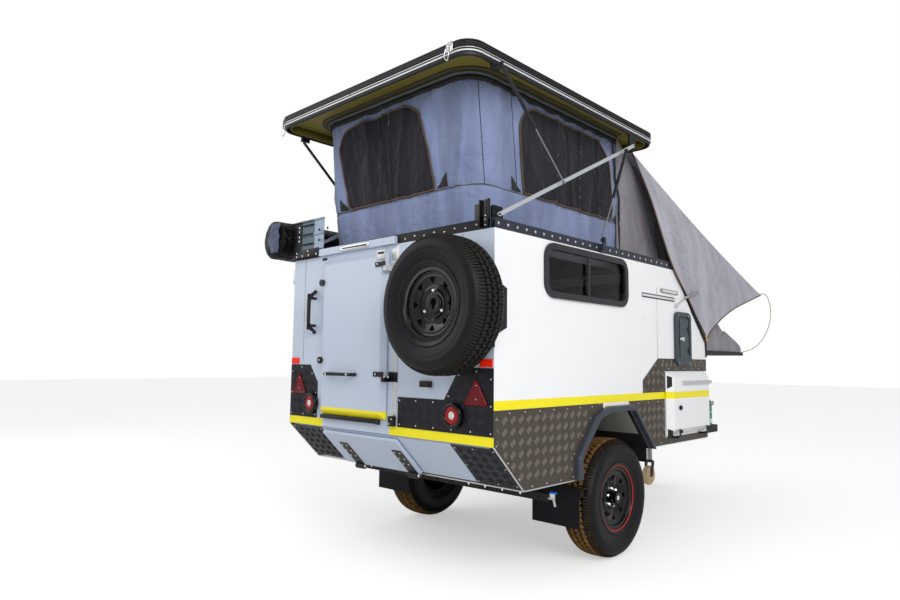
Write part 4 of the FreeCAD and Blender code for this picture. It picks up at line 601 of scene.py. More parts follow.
def build_materials():
    """Every finish of the trailer by name."""
    build_groups()
    white, shaded = colour("panel"), colour("rear_panel")
    black, silver, olive = rgb(20, 20, 23), rgb(206, 208, 212), rgb(122, 112, 44)
    # Painted shade: the side walls' faces on the rear plane, the rear wall, the door, the skirt and the step
    # hatch are the same white paint, drawn in the rear's blue grey shade.
    panel("side_paint", white, 1.041, 1.093, end=(shaded, 0.845, 0.899))
    panel("lid_paint", white, 1.041, 1.093)
    panel("rear_paint", shaded, 0.845, 0.899, (-0.13, 0.575))
    panel("door_paint", shaded, 0.935, 0.985)
    finish("plain_panel", white, 0.35, variation=0.02, bump=0.05)
    finish("slope_panel", shaded, 0.38, variation=0.02, bump=0.05)
    # Painted shade: the grey wheel arches are drawn near black below 0.80 m above the ground.
    banded("arch_grey", rgb(26, 26, 27), ("Z", 0.80, rgb(150, 152, 146)), roughness=0.5, variation=0.05)
    finish("box_grey", rgb(150, 152, 146), 0.45, variation=0.05)
    finish("black_steel", rgb(22, 22, 25), 0.36, variation=0.15, bump=0.05)
    banded("rail_steel", rgb(12, 12, 15), ("X", REAR_X + 0.003, rgb(52, 55, 68)),
           ("Z", EAVE_Z + 0.062, rgb(14, 14, 17)), roughness=0.34, metallic=0.3, variation=0.12, bump=0.05)
    banded("body_fittings", black, ("Z", 1.85, silver), roughness=0.34, metallic=0.2)
    banded("kitchen_fittings", black, ("Z", 1.10, silver), roughness=0.3, metallic=0.3)
    banded("roof_fittings", olive, ("y", 0.93, black), roughness=0.5)
    banded("lamp_reds", rgb(196, 12, 26), ("Z", 1.068, rgb(104, 8, 18)), ("Z", 1.25, rgb(255, 44, 18)),
           roughness=0.3)
    banded("awning_plate", rgb(150, 166, 184), ("Y", 0.715, rgb(86, 102, 112)), ("Y", 0.868, rgb(22, 23, 27)),
           roughness=0.36, metallic=0.4, variation=0.08)
    banded("tread_base", colour("rear_tread"), ("y", BODY_HALF, colour("tread_plate")), roughness=0.42,
           metallic=0.2, variation=0.1)
    # Painted light and shade: one checker plate metal, drawn lighter on the bars of one lean and darker on the
    # bars of the other.
    finish("tread_bar_light", rgb(134, 125, 115), 0.38, 0.25, variation=0.1)
    finish("tread_bar_dark", rgb(82, 75, 68), 0.42, 0.25, variation=0.1)
    finish("rear_bar_light", rgb(50, 51, 62), 0.34, 0.3, variation=0.1)
    finish("rear_bar_dark", rgb(33, 33, 40), 0.38, 0.3, variation=0.1)
    finish("chassis_black", rgb(20, 20, 22), variation=0.2, dust=0.08)
    finish("rivet_steel", rgb(222, 222, 222), 0.25, 0.9, variation=0.03, bump=0.02)
    finish("bright_edge", rgb(214, 214, 214), 0.3, 0.6, variation=0.04, bump=0.03)
    finish("black_rubber", rgb(28, 28, 30), 0.6, variation=0.12, grain=0.4)
    finish("frame_rubber", rgb(44, 45, 50), 0.36, variation=0.08, grain=0.2)
    finish("flare_rubber", rgb(62, 66, 76), 0.30, variation=0.1)
    finish("flap_rubber", rgb(16, 17, 23), 0.55, variation=0.2, grain=0.4, shine=0.2)
    finish("tyre_rubber", rgb(14, 14, 18), 0.46, variation=0.16, grain=0.5, shine=0.26)
    finish("block_dark", rgb(34, 31, 28), 0.6, variation=0.15, grain=0.5, shine=0.25)
    finish("block_dusty", rgb(104, 80, 50), 0.85, variation=0.2, grain=0.5, dust=0.95, dust_scale=30.0,
           shine=0.1)
    finish("block_worn", rgb(38, 32, 27), 0.7, variation=0.2, grain=0.5, dust=0.10, dust_scale=26.0,
           shine=0.15)
    finish("rim_black", rgb(6, 6, 10), 0.10, variation=0.1, bump=0.02, shine=0.42)
    finish("rim_edge", rgb(9, 9, 13), 0.28, variation=0.1, bump=0.02, shine=0.3)
    finish("rim_ring", colour("rim_ring"), 0.3, variation=0.05, bump=0.03)
    finish("chrome", rgb(230, 230, 230), 0.12, 1.0, variation=0.03, bump=0.03)
    finish("aluminium", rgb(206, 210, 216), 0.3, 0.55, grain=0.3, grain_scale=180.0)
    finish("zinc", rgb(176, 176, 172), 0.35, 0.8, variation=0.12)
    finish("rod_steel", rgb(150, 152, 158), 0.22, 0.8, bump=0.03)
    finish("spring_wire", rgb(196, 186, 140), 0.3, 0.8, variation=0.08)
    finish("red_lens", rgb(140, 4, 14), 0.15, variation=0.1, bump=0.05)
    finish("red_glow", rgb(236, 48, 52), 0.2, variation=0.1, bump=0.05)
    finish("clear_lens", rgb(225, 228, 232), 0.1, variation=0.03, bump=0.03)
    finish("lens_white", rgb(236, 232, 224), 0.15, variation=0.05, bump=0.05)
    finish("utility_grey", rgb(58, 68, 76), 0.36, variation=0.08, grain=0.3)
    finish("utility_face", rgb(74, 84, 90), grain=0.4)
    finish("roof_black", colour("roof"), 0.45, variation=0.1, grain=0.3)
    finish("trim_white", rgb(232, 232, 235), 0.35, variation=0.03, bump=0.03)
    finish("cylinder_black", rgb(13, 13, 15), 0.22, variation=0.1, bump=0.03, shine=0.6)
    finish("blue_handle", rgb(0, 120, 240), 0.35, variation=0.05, bump=0.05)
    finish("blue_cap", rgb(20, 70, 150), 0.25, variation=0.05, bump=0.05)
    finish("yellow_buckle", rgb(220, 180, 20), 0.4)
    finish("cream_plastic", rgb(228, 204, 164), variation=0.12, dust=0.1)
    finish("bottle_green", colour("bottle"), 0.25, bump=0.05)
    finish("band_black", rgb(38, 37, 36), 0.75, variation=0.15)
    finish("band_green", rgb(84, 92, 92), 0.7, variation=0.1)
    finish("band_brown", rgb(74, 66, 36), 0.6, variation=0.12)
    finish("olive_trim", olive, 0.55, variation=0.12)
    # Painted shade: a near black without shine, drawn over holes and slots; it also colours the awning plate's
    # dark lines.
    finish("deep_black", rgb(2, 2, 3), 0.9, variation=0.1, shine=0.05)
    finish("bed_board", rgb(46, 46, 50), 0.6, variation=0.15)
    finish("floor_board", rgb(110, 104, 96), 0.7, variation=0.15)
    cloth("canvas", colour("canvas"), variation=0.16, streaks=0.30, creases=0.022)
    cloth("fly_canvas", colour("fly"), variation=0.18, streaks=0.24, creases=0.038)
    cloth("mesh_window", colour("mesh_window"), 900.0, sheen=0.1, variation=0.2, creases=0.025)
    cloth("nose_canvas", rgb(140, 137, 144), variation=0.18, streaks=0.24, creases=0.045)
    cloth("dark_cloth", rgb(38, 36, 36), 1200.0)
    cloth("brown_piping", rgb(92, 70, 52), 2500.0)
    cloth("awning_pvc", rgb(12, 12, 14), 1800.0, 0.36, 0.02, creases=0.05)
    # Painted highlight: the flap is black; its blue grey stands for its bluish highlights.
    cloth("awning_flap", rgb(84, 92, 120), 1200.0, 0.5, 0.2, 0.3, creases=0.05)
    glass = bpy.data.materials.new("dark_glass")
    glass.use_nodes = True
    feed(glass.node_tree, glass.node_tree.nodes["Principled BSDF"], base_color=rgb(218, 222, 226),
         roughness=0.0, transmission_weight=1.0, ior=1.15)
    MATERIALS["dark_glass"] = glass


NODE_FINISHES = {
    "side_paint": "side_wall_left side_wall_right",
    "lid_paint": "kitchen_hatch",
    # The rear wall, door, skirt and step hatch take materials drawn in painted shade, and the wheel arches are
    # painted with shade low down.
    "rear_paint": "rear_wall",
    "door_paint": "rear_door",
    "plain_panel": "front_wall nose_frame deck_ring",
    "slope_panel": "rear_skirt step_hatch",
    "arch_grey": "wheel_arches",
    "box_grey": "kitchen_box",
    "rail_steel": "roof_rails",
    "body_fittings": "body_fittings",
    "kitchen_fittings": "kitchen_fittings",
    "black_steel": "door_fittings step_hinges spare_carrier jockey_fork",
    "chassis_black": "chassis_frame drawbar coupling_head axle_beam leaf_springs under_bars front_tray",
    "tread_base": "tread_plates",
    "flare_rubber": "arch_flares",
    "flap_rubber": "mudflaps",
    "frame_rubber": "window_frames",
    "dark_glass": "window_glass",
    "lamp_reds": "rear_lamps",
    "utility_grey": "utility_box",
    "rim_black": "spare_rim rim_left rim_right",
    "awning_plate": "awning_brackets",
    "aluminium": "lift_arms",
    "chrome": "water_tap",
    "rod_steel": "upper_rods lower_rods",
    "cylinder_black": "upper_cylinders lower_cylinders",
    "bottle_green": "gas_bottle",
    "zinc": "jockey_clamp jockey_leg",
    "cream_plastic": "jockey_wheel",
    "bed_board": "bed_platform",
    "floor_board": "floor_panels",
    "roof_black": "roof_shell",
    "roof_fittings": "roof_fittings",
}


class TRAILER_OT_finishes(bpy.types.Operator):
    """Build every material and put the finishes on the construction pieces"""
    bl_idname = "trailer.finishes"
    bl_label = "Finishes"

    def execute(self, context):
        build_materials()
        for name, nodes in NODE_FINISHES.items():
            for node in nodes.split():
                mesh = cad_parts[node].data
                mesh.materials.clear()
                mesh.materials.append(MATERIALS[name])
        return {"FINISHED"}


CAMERA_AT = (-4.105, -3.279, 1.305)
CAMERA_ANGLES = {"yaw": 43.672, "pitch": 5.317, "roll": 0.643}
CAMERA_LENS = 26.35
FLOOR_GLOW = 0.45
FLOOR_REACH = 40.0
LAMPS = {"key": ((-5.2, -7.3, 5.5), 430.0, 5.0), "fill": ((-5.0, 6.0, 5.0), 120.0, 6.0)}


class TRAILER_OT_stage(bpy.types.Operator):
    """Set up the camera of the photograph, a pale floor and soft light"""
    bl_idname = "trailer.stage"
    bl_label = "Stage"

    def execute(self, context):
        scene = context.scene
        lens = bpy.data.cameras.new("camera")
        lens.lens = CAMERA_LENS
        lens.sensor_width = 36.0
        camera = bpy.data.objects.new("camera", lens)
        scene.collection.objects.link(camera)
        camera.location = at(*CAMERA_AT)
        yaw, pitch, roll = (math.radians(value) for value in CAMERA_ANGLES.values())
        look = np.array([math.cos(pitch) * math.cos(yaw), math.cos(pitch) * math.sin(yaw), math.sin(pitch)])
        side = unit(np.cross(look, UP))
        up = np.cross(side, look)
        columns = np.stack([math.cos(roll) * side + math.sin(roll) * up,
                            math.cos(roll) * up - math.sin(roll) * side, -look], axis=1)
        camera.rotation_euler = Matrix(columns.tolist()).to_euler()
        scene.camera = camera
        self.floor()
        self.lights(scene)
        scene.view_settings.view_transform = "Standard"
        return {"FINISHED"}

    def floor(self):
        """A wide pale floor at ground level, round the row frame's origin."""
        corners = [(x * FLOOR_REACH - OFFSET[0], y * FLOOR_REACH, 0.0)
                   for x, y in ((-1, -1), (1, -1), (1, 1), (-1, 1))]
        made = mesh_object("studio_floor", corners, [(0, 1, 2, 3)], None, None)
        pale = bpy.data.materials.new("pale_floor")
        pale.use_nodes = True
        tree = pale.node_tree
        path = tree.nodes.new("ShaderNodeLightPath")
        feed(tree, tree.nodes["Principled BSDF"], base_color=(0.8, 0.8, 0.8), roughness=0.9,
             emission_color=(1.0, 1.0, 1.0),
             emission_strength=math_node(tree, "MULTIPLY", path.outputs["Is Camera Ray"], FLOOR_GLOW))
        made.data.materials.append(pale)

    def lights(self, scene):
        """A pale sky all round, one broad key light and one fill."""
        world = bpy.data.worlds.new("studio")
        world.use_nodes = True
        tree = world.node_tree
        path = tree.nodes.new("ShaderNodeLightPath").outputs
        seen = math_node(tree, "MAXIMUM", path["Is Camera Ray"], path["Is Transmission Ray"])
        strength = math_node(tree, "ADD", math_node(tree, "MULTIPLY", seen, 0.45), 0.55)
        feed(tree, tree.nodes["Background"], color=(1, 1, 1), strength=strength)
        scene.world = world
        for name, (place, power, width) in LAMPS.items():
            lamp = bpy.data.lights.new(name, "AREA")
            lamp.energy = power
            lamp.size = width
            made = bpy.data.objects.new(name, lamp)
            scene.collection.objects.link(made)
            made.location = at(*place)
            aim = Vector(at(0, 0, 1.2)) - made.location
            made.rotation_euler = aim.to_track_quat("-Z", "Y").to_euler()


TYRE_HALF = (TYRE_HIGH[1] - TYRE_LOW[1]) / 2
TYRE_RADIUS = (TYRE_HIGH[2] - TYRE_LOW[2]) / 2
TREAD_HALF = TYRE_HALF * 0.86
TREAD_PITCHES = 62
RIM_EDGE = 0.2033
WINDOW_RADIUS = 0.132
WINDOW_FACE = 0.0650
WINDOW_SLOPE = 0.158
HUB_FACE = 0.049
NUT_HALF = 0.011
NUT_HEIGHT = 0.014


def tyre_radius_at(across):
    """The carcass radius at a share -1 to 1 of the tread's half width: a flat crown that falls as a power."""
    return TYRE_RADIUS - size("tread_depth") - 0.020 * np.abs(across) ** 4


def carcass_profile():
    """The tyre's closed section from bead to bead, outside then inside, as (along, radius)."""
    crown = np.linspace(-1, 1, 13)
    tread = np.column_stack([crown * TREAD_HALF, tyre_radius_at(crown)])
    wall = [(0.955, 0.352), (0.985, 0.338), (0.992, 0.330), (1.0, 0.327), (1.0, 0.315), (0.996, 0.309),
            (0.984, 0.306), (0.985, 0.289), (0.981, 0.285), (0.966, 0.281), (0.955, 0.262), (0.93, 0.256),
            (0.88, 0.243), (0.84, 0.236), (0.80, 0.225), (0.76, 0.212), (0.73, RIM_EDGE)]
    lining = [(0.55, RIM_EDGE + 0.004), (0.8, 0.30), (0.6, 0.355)]
    scale = (TYRE_HALF, 1)
    mirror = (-TYRE_HALF, 1)
    return np.vstack([tread, np.array(wall) * scale, np.array(lining) * scale, [(0, 0.362)],
                      np.array(lining[::-1]) * mirror, np.array(wall[::-1]) * mirror])


def tread_block_outlines():
    """The blocks of one pitch: outlines in shares of the pitch round the tyre and of the half tread. Two
    thin shoulder lugs reach over the edge, the rows beside the centre zigzag, and the centre row is split."""
    shoulder = [(0.02, 0.66), (0.22, 0.62), (0.36, 0.70), (0.44, 1.03), (0.14, 1.03)]
    second = [(u + 0.48, v) for u, v in shoulder]
    middle = [(0.04, 0.30), (0.30, 0.24), (0.62, 0.32), (0.92, 0.26), (0.98, 0.48), (0.72, 0.58),
              (0.40, 0.50), (0.10, 0.56)]
    centre = [(0.06, -0.04), (0.30, -0.16), (0.60, -0.10), (0.90, -0.19), (0.94, -0.02), (0.66, 0.05),
              (0.38, -0.01)]
    other = [(u + 0.5, v + 0.13) for u, v in centre]
    mirrored = [[(u + 0.5, -v) for u, v in reversed(shape)] for shape in (shoulder, second, middle)]
    return [shoulder, second, middle, centre, other] + mirrored


def tread_blocks(name, centre, axis, body, outlines, finish_name):
    """Raised tread blocks all round: each outline is wrapped on the crown and carried out by the depth in
    three rings that narrow upwards."""
    first = np.array([axis[1], -axis[0], 0.0])
    second = np.cross(axis, first)
    vertices, faces = [], []
    for outline in outlines:
        outline = np.array(outline)
        middle = outline.mean(axis=0)
        count = len(outline)
        sides = [(i, (i + 1) % count, (i + 1) % count + count, i + count) for i in range(count)]
        sides += [tuple(value + count for value in side) for side in sides]
        sides += [tuple(range(2 * count, 3 * count)), tuple(reversed(range(count)))]
        for pitch in range(TREAD_PITCHES):
            faces += [tuple(len(vertices) + value for value in side) for side in sides]
            for share, rise in ((0.90, -0.35), (0.88, 0.72), (0.82, 1.0)):
                flat = middle + (outline - middle) * share
                ease = np.where(np.abs(flat[:, 1]) > 0.95, 0.45, 1.0)
                radius = tyre_radius_at(np.clip(flat[:, 1], -1, 1)) + size("tread_depth") * rise * ease
                angle = (flat[:, :1] + pitch) * 2 * math.pi / TREAD_PITCHES
                out = first * np.cos(angle) + second * np.sin(angle)
                vertices.extend(centre + axis * flat[:, 1:] * TREAD_HALF + out * radius[:, None])
    return face_outwards(mesh_object(name, vertices, faces, finish_name, body, False))


def dress_tyre(label, centre, axis, body, node):
    """One tyre: its carcass with its wall's rings and its tread blocks, dusty on a road wheel."""
    shapes = tread_block_outlines()
    spare = label == "spare"
    carcass = lathe("tyre_carcass_" + label, carcass_profile(), centre, axis, "tyre_rubber", body)
    worn = "block_dark" if spare else "block_worn"
    lugs = tread_blocks("tyre_lugs_" + label, centre, axis, body, shapes[:2], worn)
    blocks = tread_blocks("tyre_blocks_" + label, centre, axis, body, shapes[2:],
                          "block_dark" if spare else "block_dusty")
    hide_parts(node)


def dress_rim(label, centre, outward, body):
    """One wheel's lip and dish with eight windows, and a road wheel's thin red ring, cap and six nuts, or
    the spare's three nuts and clamp plate."""
    spare = label == "spare"
    half = TYRE_HALF
    lip = [(0.070, 0.1985), (0.086, 0.2005), (half * 0.78, 0.209), (half * 0.825, 0.217),
           (half * 0.875, 0.229), (half * 0.890, 0.236), (half * 0.878, 0.240), (half * 0.850, 0.236),
           (half * 0.810, 0.224), (0.086, 0.2025)]
    dish = [(0.0500, 0.094), (0.0530, 0.104), (0.0640, 0.112), (0.0700, 0.150), (0.0735, 0.156),
            (0.0700, 0.164), (0.0720, 0.174), (0.0800, 0.1795), (0.0760, 0.1800), (0.0620, 0.176),
            (0.0600, 0.158), (0.0520, 0.112), (0.0495, 0.094)]
    ring = [(half * 0.795, 0.2095), (half * 0.825, 0.2155), (half * 0.826, 0.2175), (half * 0.792, 0.2115)]
    cap = [(0.045, 0.001), (0.045, 0.036), (0.078, 0.036), (0.092, 0.034), (0.100, 0.027), (0.104, 0.015),
           (0.105, 0.001)]
    lathe("rim_lip_" + label, lip, centre, outward, "rim_edge", body)
    lathe("rim_dish_" + label, dish, centre, outward, "rim_black", body)
    if not spare:
        lathe("rim_ring_" + label, ring, centre, outward, "rim_ring", body, 96)
    side = np.cross(outward, UP)
    rim_windows(label, centre, outward, side, body)
    if spare:
        keyhole_plate(centre + outward * (HUB_FACE + 0.001), outward, side)
    turn = angles(3) + math.pi / 2 if spare else angles(6) + 0.3
    reach = 0.076 if spare else 0.060
    places = [centre + outward * HUB_FACE + (side * math.cos(a) + UP * math.sin(a)) * reach for a in turn]
    hexagon = np.column_stack([np.cos(angles(6)), np.sin(angles(6))])
    nut = np.vstack([np.column_stack([hexagon * radius, np.full(6, rise)]) for radius, rise in
                     ((NUT_HALF, 0.0), (NUT_HALF, NUT_HEIGHT), (0.006, 0.019))])
    faces = [(i + low, (i + 1) % 6 + low, (i + 1) % 6 + low + 6, i + low + 6)
             for low in (0, 6) for i in range(6)]
    faces += [tuple(range(12, 18)), tuple(reversed(range(6)))]
    copies("wheel_nuts_" + label, nut, faces, places, "chrome", facing(outward), body=body)
    if not spare:
        # Painted reflection: the chrome cap is drawn plain white for its bright reflection.
        lathe("hub_cap_" + label, cap, centre, outward, "trim_white", body, 48)


def rim_windows(label, centre, outward, side, body):
    """The eight three-cornered windows of the disc: dark patches of painted shade over the holes of the CAD
    rim.
    """
    outline = [(0.012, 0.021), (0.015, 0.015), (0.015, -0.015), (0.012, -0.021), (-0.014, -0.004),
               (-0.016, 0.0), (-0.014, 0.004)]
    for index, angle in enumerate(angles(8)):
        out = side * math.cos(angle) + UP * math.sin(angle)
        across = UP * math.cos(angle) - side * math.sin(angle)
        spot = centre + out * WINDOW_RADIUS + outward * WINDOW_FACE
        prism("rim_window_{}_{}".format(label, index), outline, spot, out + outward * WINDOW_SLOPE, across,
              outward * 0.0030, "deep_black", body=body)


def keyhole_plate(centre, outward, side):
    """The spare's round clamp plate, with the keyhole slot in its middle as a dark patch of painted shade."""
    lathe("spare_plate", [(0.0, 0.001), (0.010, 0.001), (0.010, 0.050), (0.007, 0.055), (0.0, 0.055)], centre,
          outward, "black_steel", steps=48)
    turn = np.linspace(-0.35 * math.pi, 1.35 * math.pi, 16)
    slot = np.column_stack([0.020 * np.cos(turn), 0.014 + 0.020 * np.sin(turn)])
    slot = np.vstack([slot, [[-0.008, -0.030], [0.008, -0.030]]])
    prism("spare_keyhole", slot, centre + outward * 0.010, side, UP, outward * 0.0012, "deep_black")


class TRAILER_OT_wheels(bpy.types.Operator):
    """Add the tyres' carcasses and tread blocks and the bright parts of the wheels"""
    bl_idname = "trailer.wheels"
    bl_label = "Wheels"

    def execute(self, context):
        for label, node, body, outward in (("left", "tyre_left", "wheel_left", (0, 1, 0)),
                                           ("right", "tyre_right", "wheel_right", (0, -1, 0)),
                                           ("spare", "spare_tyre", "trailer", (-1, 0, 0))):
            low, high = box(node)
            outward = np.array(outward, dtype=float)
            dress_tyre(label, (low + high) / 2, outward, body, node)
            dress_rim(label, (low + high) / 2, outward, body)
        return {"FINISHED"}


def in_outline(points, outline):
    """Whether flat points lie inside an outline, by counting the edges crossed to one side."""
    inside = np.zeros(len(points), dtype=bool)
    for start, end in zip(outline, np.roll(outline, -1, axis=0)):
        crosses = (start[1] > points[:, 1]) != (end[1] > points[:, 1])
        slope = (end[0] - start[0]) / (end[1] - start[1] + 1e-12)
        inside ^= crosses & (points[:, 0] < start[0] + slope * (points[:, 1] - start[1]))
    return inside


def shrink(outline, margin):
    """An outline drawn in by a margin: each corner moves to where its two edges meet after both have moved
    inwards, the sum of their inward normals over one plus the normals' dot product."""
    outline = np.asarray(outline, dtype=float)
    ahead = np.roll(outline, -1, axis=0)
    edges = (ahead - outline) / np.linalg.norm(ahead - outline, axis=1)[:, None]
    inward = np.column_stack([-edges[:, 1], edges[:, 0]])
    if (outline[:, 0] * ahead[:, 1] - ahead[:, 0] * outline[:, 1]).sum() < 0:
        inward = -inward
    before = np.roll(inward, 1, axis=0)
    return outline + margin * (before + inward) / (1 + (before * inward).sum(axis=1))[:, None]


BAR_LENGTH = 0.040
BAR_WIDTH = 0.0062
BAR_HEIGHT = 0.0016
BAR_STEP = 0.0095
BAR_LEAN = 52
BARS_IN_GROUP = 5
PATTERN = np.array([0.074, 0.064])
RIVET_STEP = 0.13
SKIN_STEP = 0.0033
SKIRT_TOP = np.array([-1.344, 0, 0.845])
SKIRT_FOOT = np.array([-1.081, 0, 0.584])
SIDE_PLATES = {
    "rear": [(-1.344, 0.845), (-1.081, 0.584), (-0.563, 0.584), (-0.563, 0.725), (-0.33, 0.975),
             (-0.235, 1.035), (-0.235, 1.041), (-1.344, 1.041)],
    "front": [(0.44, 0.70), (0.672, 0.70), (0.672, 1.041), (0.140, 1.041), (0.19, 1.015)],
    "upper": [(0.334, 1.093), (0.334, 1.184), (0.577, 1.344), (1.45, 1.344), (1.45, 1.25), (0.68, 1.25),
              (0.68, 1.093)],
}
REAR_PLATES = {
    "left": [(-0.977, 0.899), (-0.977, 1.270), (-0.737, 1.270), (-0.643, 1.147), (-0.643, 0.899)],
    "right": [(0.977, 0.899), (0.977, 1.270), (0.728, 1.270), (0.605, 1.083), (0.209, 1.083), (0.209, 0.899)],
}
SKIRT_PLATES = {"left": (0.598, 0.977), "right": (-0.977, -0.650)}


def skirt_directions():
    """The skirt's directions down and outwards, and its length down the slope."""
    down = unit(SKIRT_FOOT - SKIRT_TOP)
    return down, np.cross((0, 1, 0), down), np.linalg.norm(SKIRT_FOOT - SKIRT_TOP)


def tread_plate(bars, rivet_label, outline, origin, first, second, normal, finishes):
    """Five-bar tread pattern inside an outline: groups of parallel bars that lean one way, then the other,
    lighter on the one lean and darker on the other as painted light and shade. Rivets stand at even steps
    inside the edge."""
    first, second, normal = (np.asarray(value, dtype=float) for value in (first, second, normal))
    inner = shrink(outline, 0.016)
    half = BAR_LENGTH / 2
    ridge = [(way * half * 0.5, 0, BAR_HEIGHT) for way in (-1, 1)]
    flat = [(-half, 0, 0), (-half * 0.45, -BAR_WIDTH / 2, 0), (half * 0.45, -BAR_WIDTH / 2, 0), (half, 0, 0),
            (half * 0.45, BAR_WIDTH / 2, 0), (-half * 0.45, BAR_WIDTH / 2, 0)] + ridge
    faces = [(0, 1, 6), (1, 2, 7, 6), (2, 3, 7), (3, 4, 7), (4, 5, 6, 7), (5, 0, 6)]
    for lean in (0, 1):
        xs, zs = (np.arange(low - step, high + step, step) + lean * step / 2
                  for low, high, step in zip(inner.min(axis=0), inner.max(axis=0), PATTERN))
        grid = np.stack(np.meshgrid(xs, zs), axis=2).reshape(-1, 2)
        angle = math.radians(BAR_LEAN if lean else -BAR_LEAN)
        along = np.array([math.cos(angle), math.sin(angle)])
        across = np.array([-along[1], along[0]])
        steps = (np.arange(BARS_IN_GROUP) - (BARS_IN_GROUP - 1) / 2) * BAR_STEP
        centres = (grid[:, None] + across * steps[None, :, None]).reshape(-1, 2)
        both = in_outline(centres - along * half, inner) & in_outline(centres + along * half, inner)
        centres = centres[both]
        places = np.asarray(origin) + centres[:, :1] * first + centres[:, 1:] * second + normal * 0.0001
        turn = np.stack([first * along[0] + second * along[1], first * across[0] + second * across[1],
                         normal], axis=1)
        bars_name = bars + ("_right_lean" if lean else "_left_lean")
        # The lean picks the lit or the shaded finish: painted light and shade.
        made = copies(bars_name, flat, faces, places, finishes[lean], turn)
        face_outwards(made, normal)
    ring = shrink(outline, 0.018)
    length = np.linalg.norm(np.diff(np.vstack([ring, ring[:1]]), axis=0), axis=1).sum()
    path = closed_path(ring, max(8, int(length / RIVET_STEP)))
    rivets("plate_rivets_" + rivet_label, np.asarray(origin) + path[:, :1] * first + path[:, 1:2] * second,
           normal=normal)


class TRAILER_OT_tread_plates(bpy.types.Operator):
    """Add the raised bars of the patterned plates, their rivets and their bright edges"""
    bl_idname = "trailer.tread_plates"
    bl_label = "Tread plates"

    def execute(self, context):
        finishes = ("tread_bar_light", "tread_bar_dark")
        for label, side in SIDES:
            for name, outline in SIDE_PLATES.items():
                tread_plate("side_bars_{}_{}".format(name, label), name + "_" + label, outline,
                            (0, side * (BODY_HALF + SKIN_STEP), 0), (1, 0, 0), UP, (0, side, 0), finishes)
        finishes = ("rear_bar_light", "rear_bar_dark")
        face = box("tread_plates")[0][0] - 0.0002
        for name, outline in REAR_PLATES.items():
            tread_plate("rear_bars_" + name, "rear_" + name, outline, (face, 0, 0), (0, -1, 0), UP, BACK,
                        finishes)
        down, outward, length = skirt_directions()
        for name, (low, high) in SKIRT_PLATES.items():
            outline = [(low, -0.014), (high, -0.014), (high, 0.014 - length), (low, 0.014 - length)]
            tread_plate("skirt_bars_" + name, "skirt_" + name, outline, SKIRT_TOP + outward * 0.0034,
                        (0, 1, 0), -down, outward, finishes)
        self.edges()
        return {"FINISHED"}

    def edges(self):
        """Bright angle strips along the skirt's corners and the plates' free edges."""
        low = SKIRT_FOOT[2] - 0.002
        for label, side in reversed(SIDES):
            y = side * (BODY_HALF + 0.002)
            path = [np.array(point) for point in ((REAR_X - 0.002, y, SKIRT_TOP[2]), (SKIRT_FOOT[0], y, low),
                                                  (-0.565, y, low))]
            dense = np.vstack([np.linspace(a, b, 12) for a, b in zip(path[:-1], path[1:])])
            tube("skirt_edge_" + label, resample(dense, 40), 0.0045, "bright_edge", 8)
        ends = [np.array([SKIRT_FOOT[0] - 0.002, side * BODY_HALF, low]) for side in (-1, 1)]
        tube("skirt_edge_low", np.linspace(*ends, 20), 0.005, "bright_edge", 8)


TENT_HALF = 0.745
TENT_LOW_Z = EAVE_Z + 0.002
TENT_HIGH_Z = box("tent_walls")[1][2]
TENT_REAR = (-1.18, -1.29)
TENT_FRONT = (0.50, 0.37)
TENT_CORNER = 0.16
TENT_SEAM_Z = 2.375
TENT_FOLD_END = 5.0
TENT_MIDDLE = 0.6
WINDOW_LOW = TENT_SEAM_Z + 0.006
WINDOW_HIGH = 2.965
WINDOW_CORNERS = (0.19, 0.03)
BAND_LOW_Z = 3.000
BAND_MIDDLE_Z = 3.034
BAND_HIGH_Z = 3.051
BAND_TOP_Z = 3.059
STRAP_FOOT_X = 0.32
STRAP_HEAD_X = 0.365


def squash_pieces(pieces):
    """Gives each cloth piece its own copy of its mesh."""
    for piece in pieces:
        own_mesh(piece)


def plan_steps(*counts):
    """The plan's parameter in even steps along each of its runs."""
    return np.concatenate([np.linspace(index, index + 1, count, endpoint=False)
                           for index, count in enumerate(counts)])


def tent_plan(p, t):
    """The tent wall's plan at a height share t, by p: 0 to 1 the right side, 1 to 2 its corner, 2 to 3 the
    rear, 3 to 4 the left corner and 4 to 5 the left side. Corners are quarter circles."""
    rear = TENT_REAR[0] + (TENT_REAR[1] - TENT_REAR[0]) * t
    front = TENT_FRONT[0] + (TENT_FRONT[1] - TENT_FRONT[0]) * t
    r = TENT_CORNER
    mirrored_p = np.where(p > 2.5, TENT_FOLD_END - p, p)
    side = np.where(p > 2.5, 1.0, -1.0)
    along = np.clip(mirrored_p, 0, 1)
    turn = np.clip(mirrored_p - 1, 0, 1) * math.pi / 2
    across = np.clip(mirrored_p - 2, 0, 0.5)
    x = front + (rear + r - front) * along - r * np.sin(turn)
    y = side * (TENT_HALF - r * (1 - np.cos(turn)) - across * 2 * (TENT_HALF - r))
    y = np.where(mirrored_p >= 2, side * (TENT_HALF - r) * (1 - across * 2), y)
    return x, y, -np.sin(turn), side * np.cos(turn)


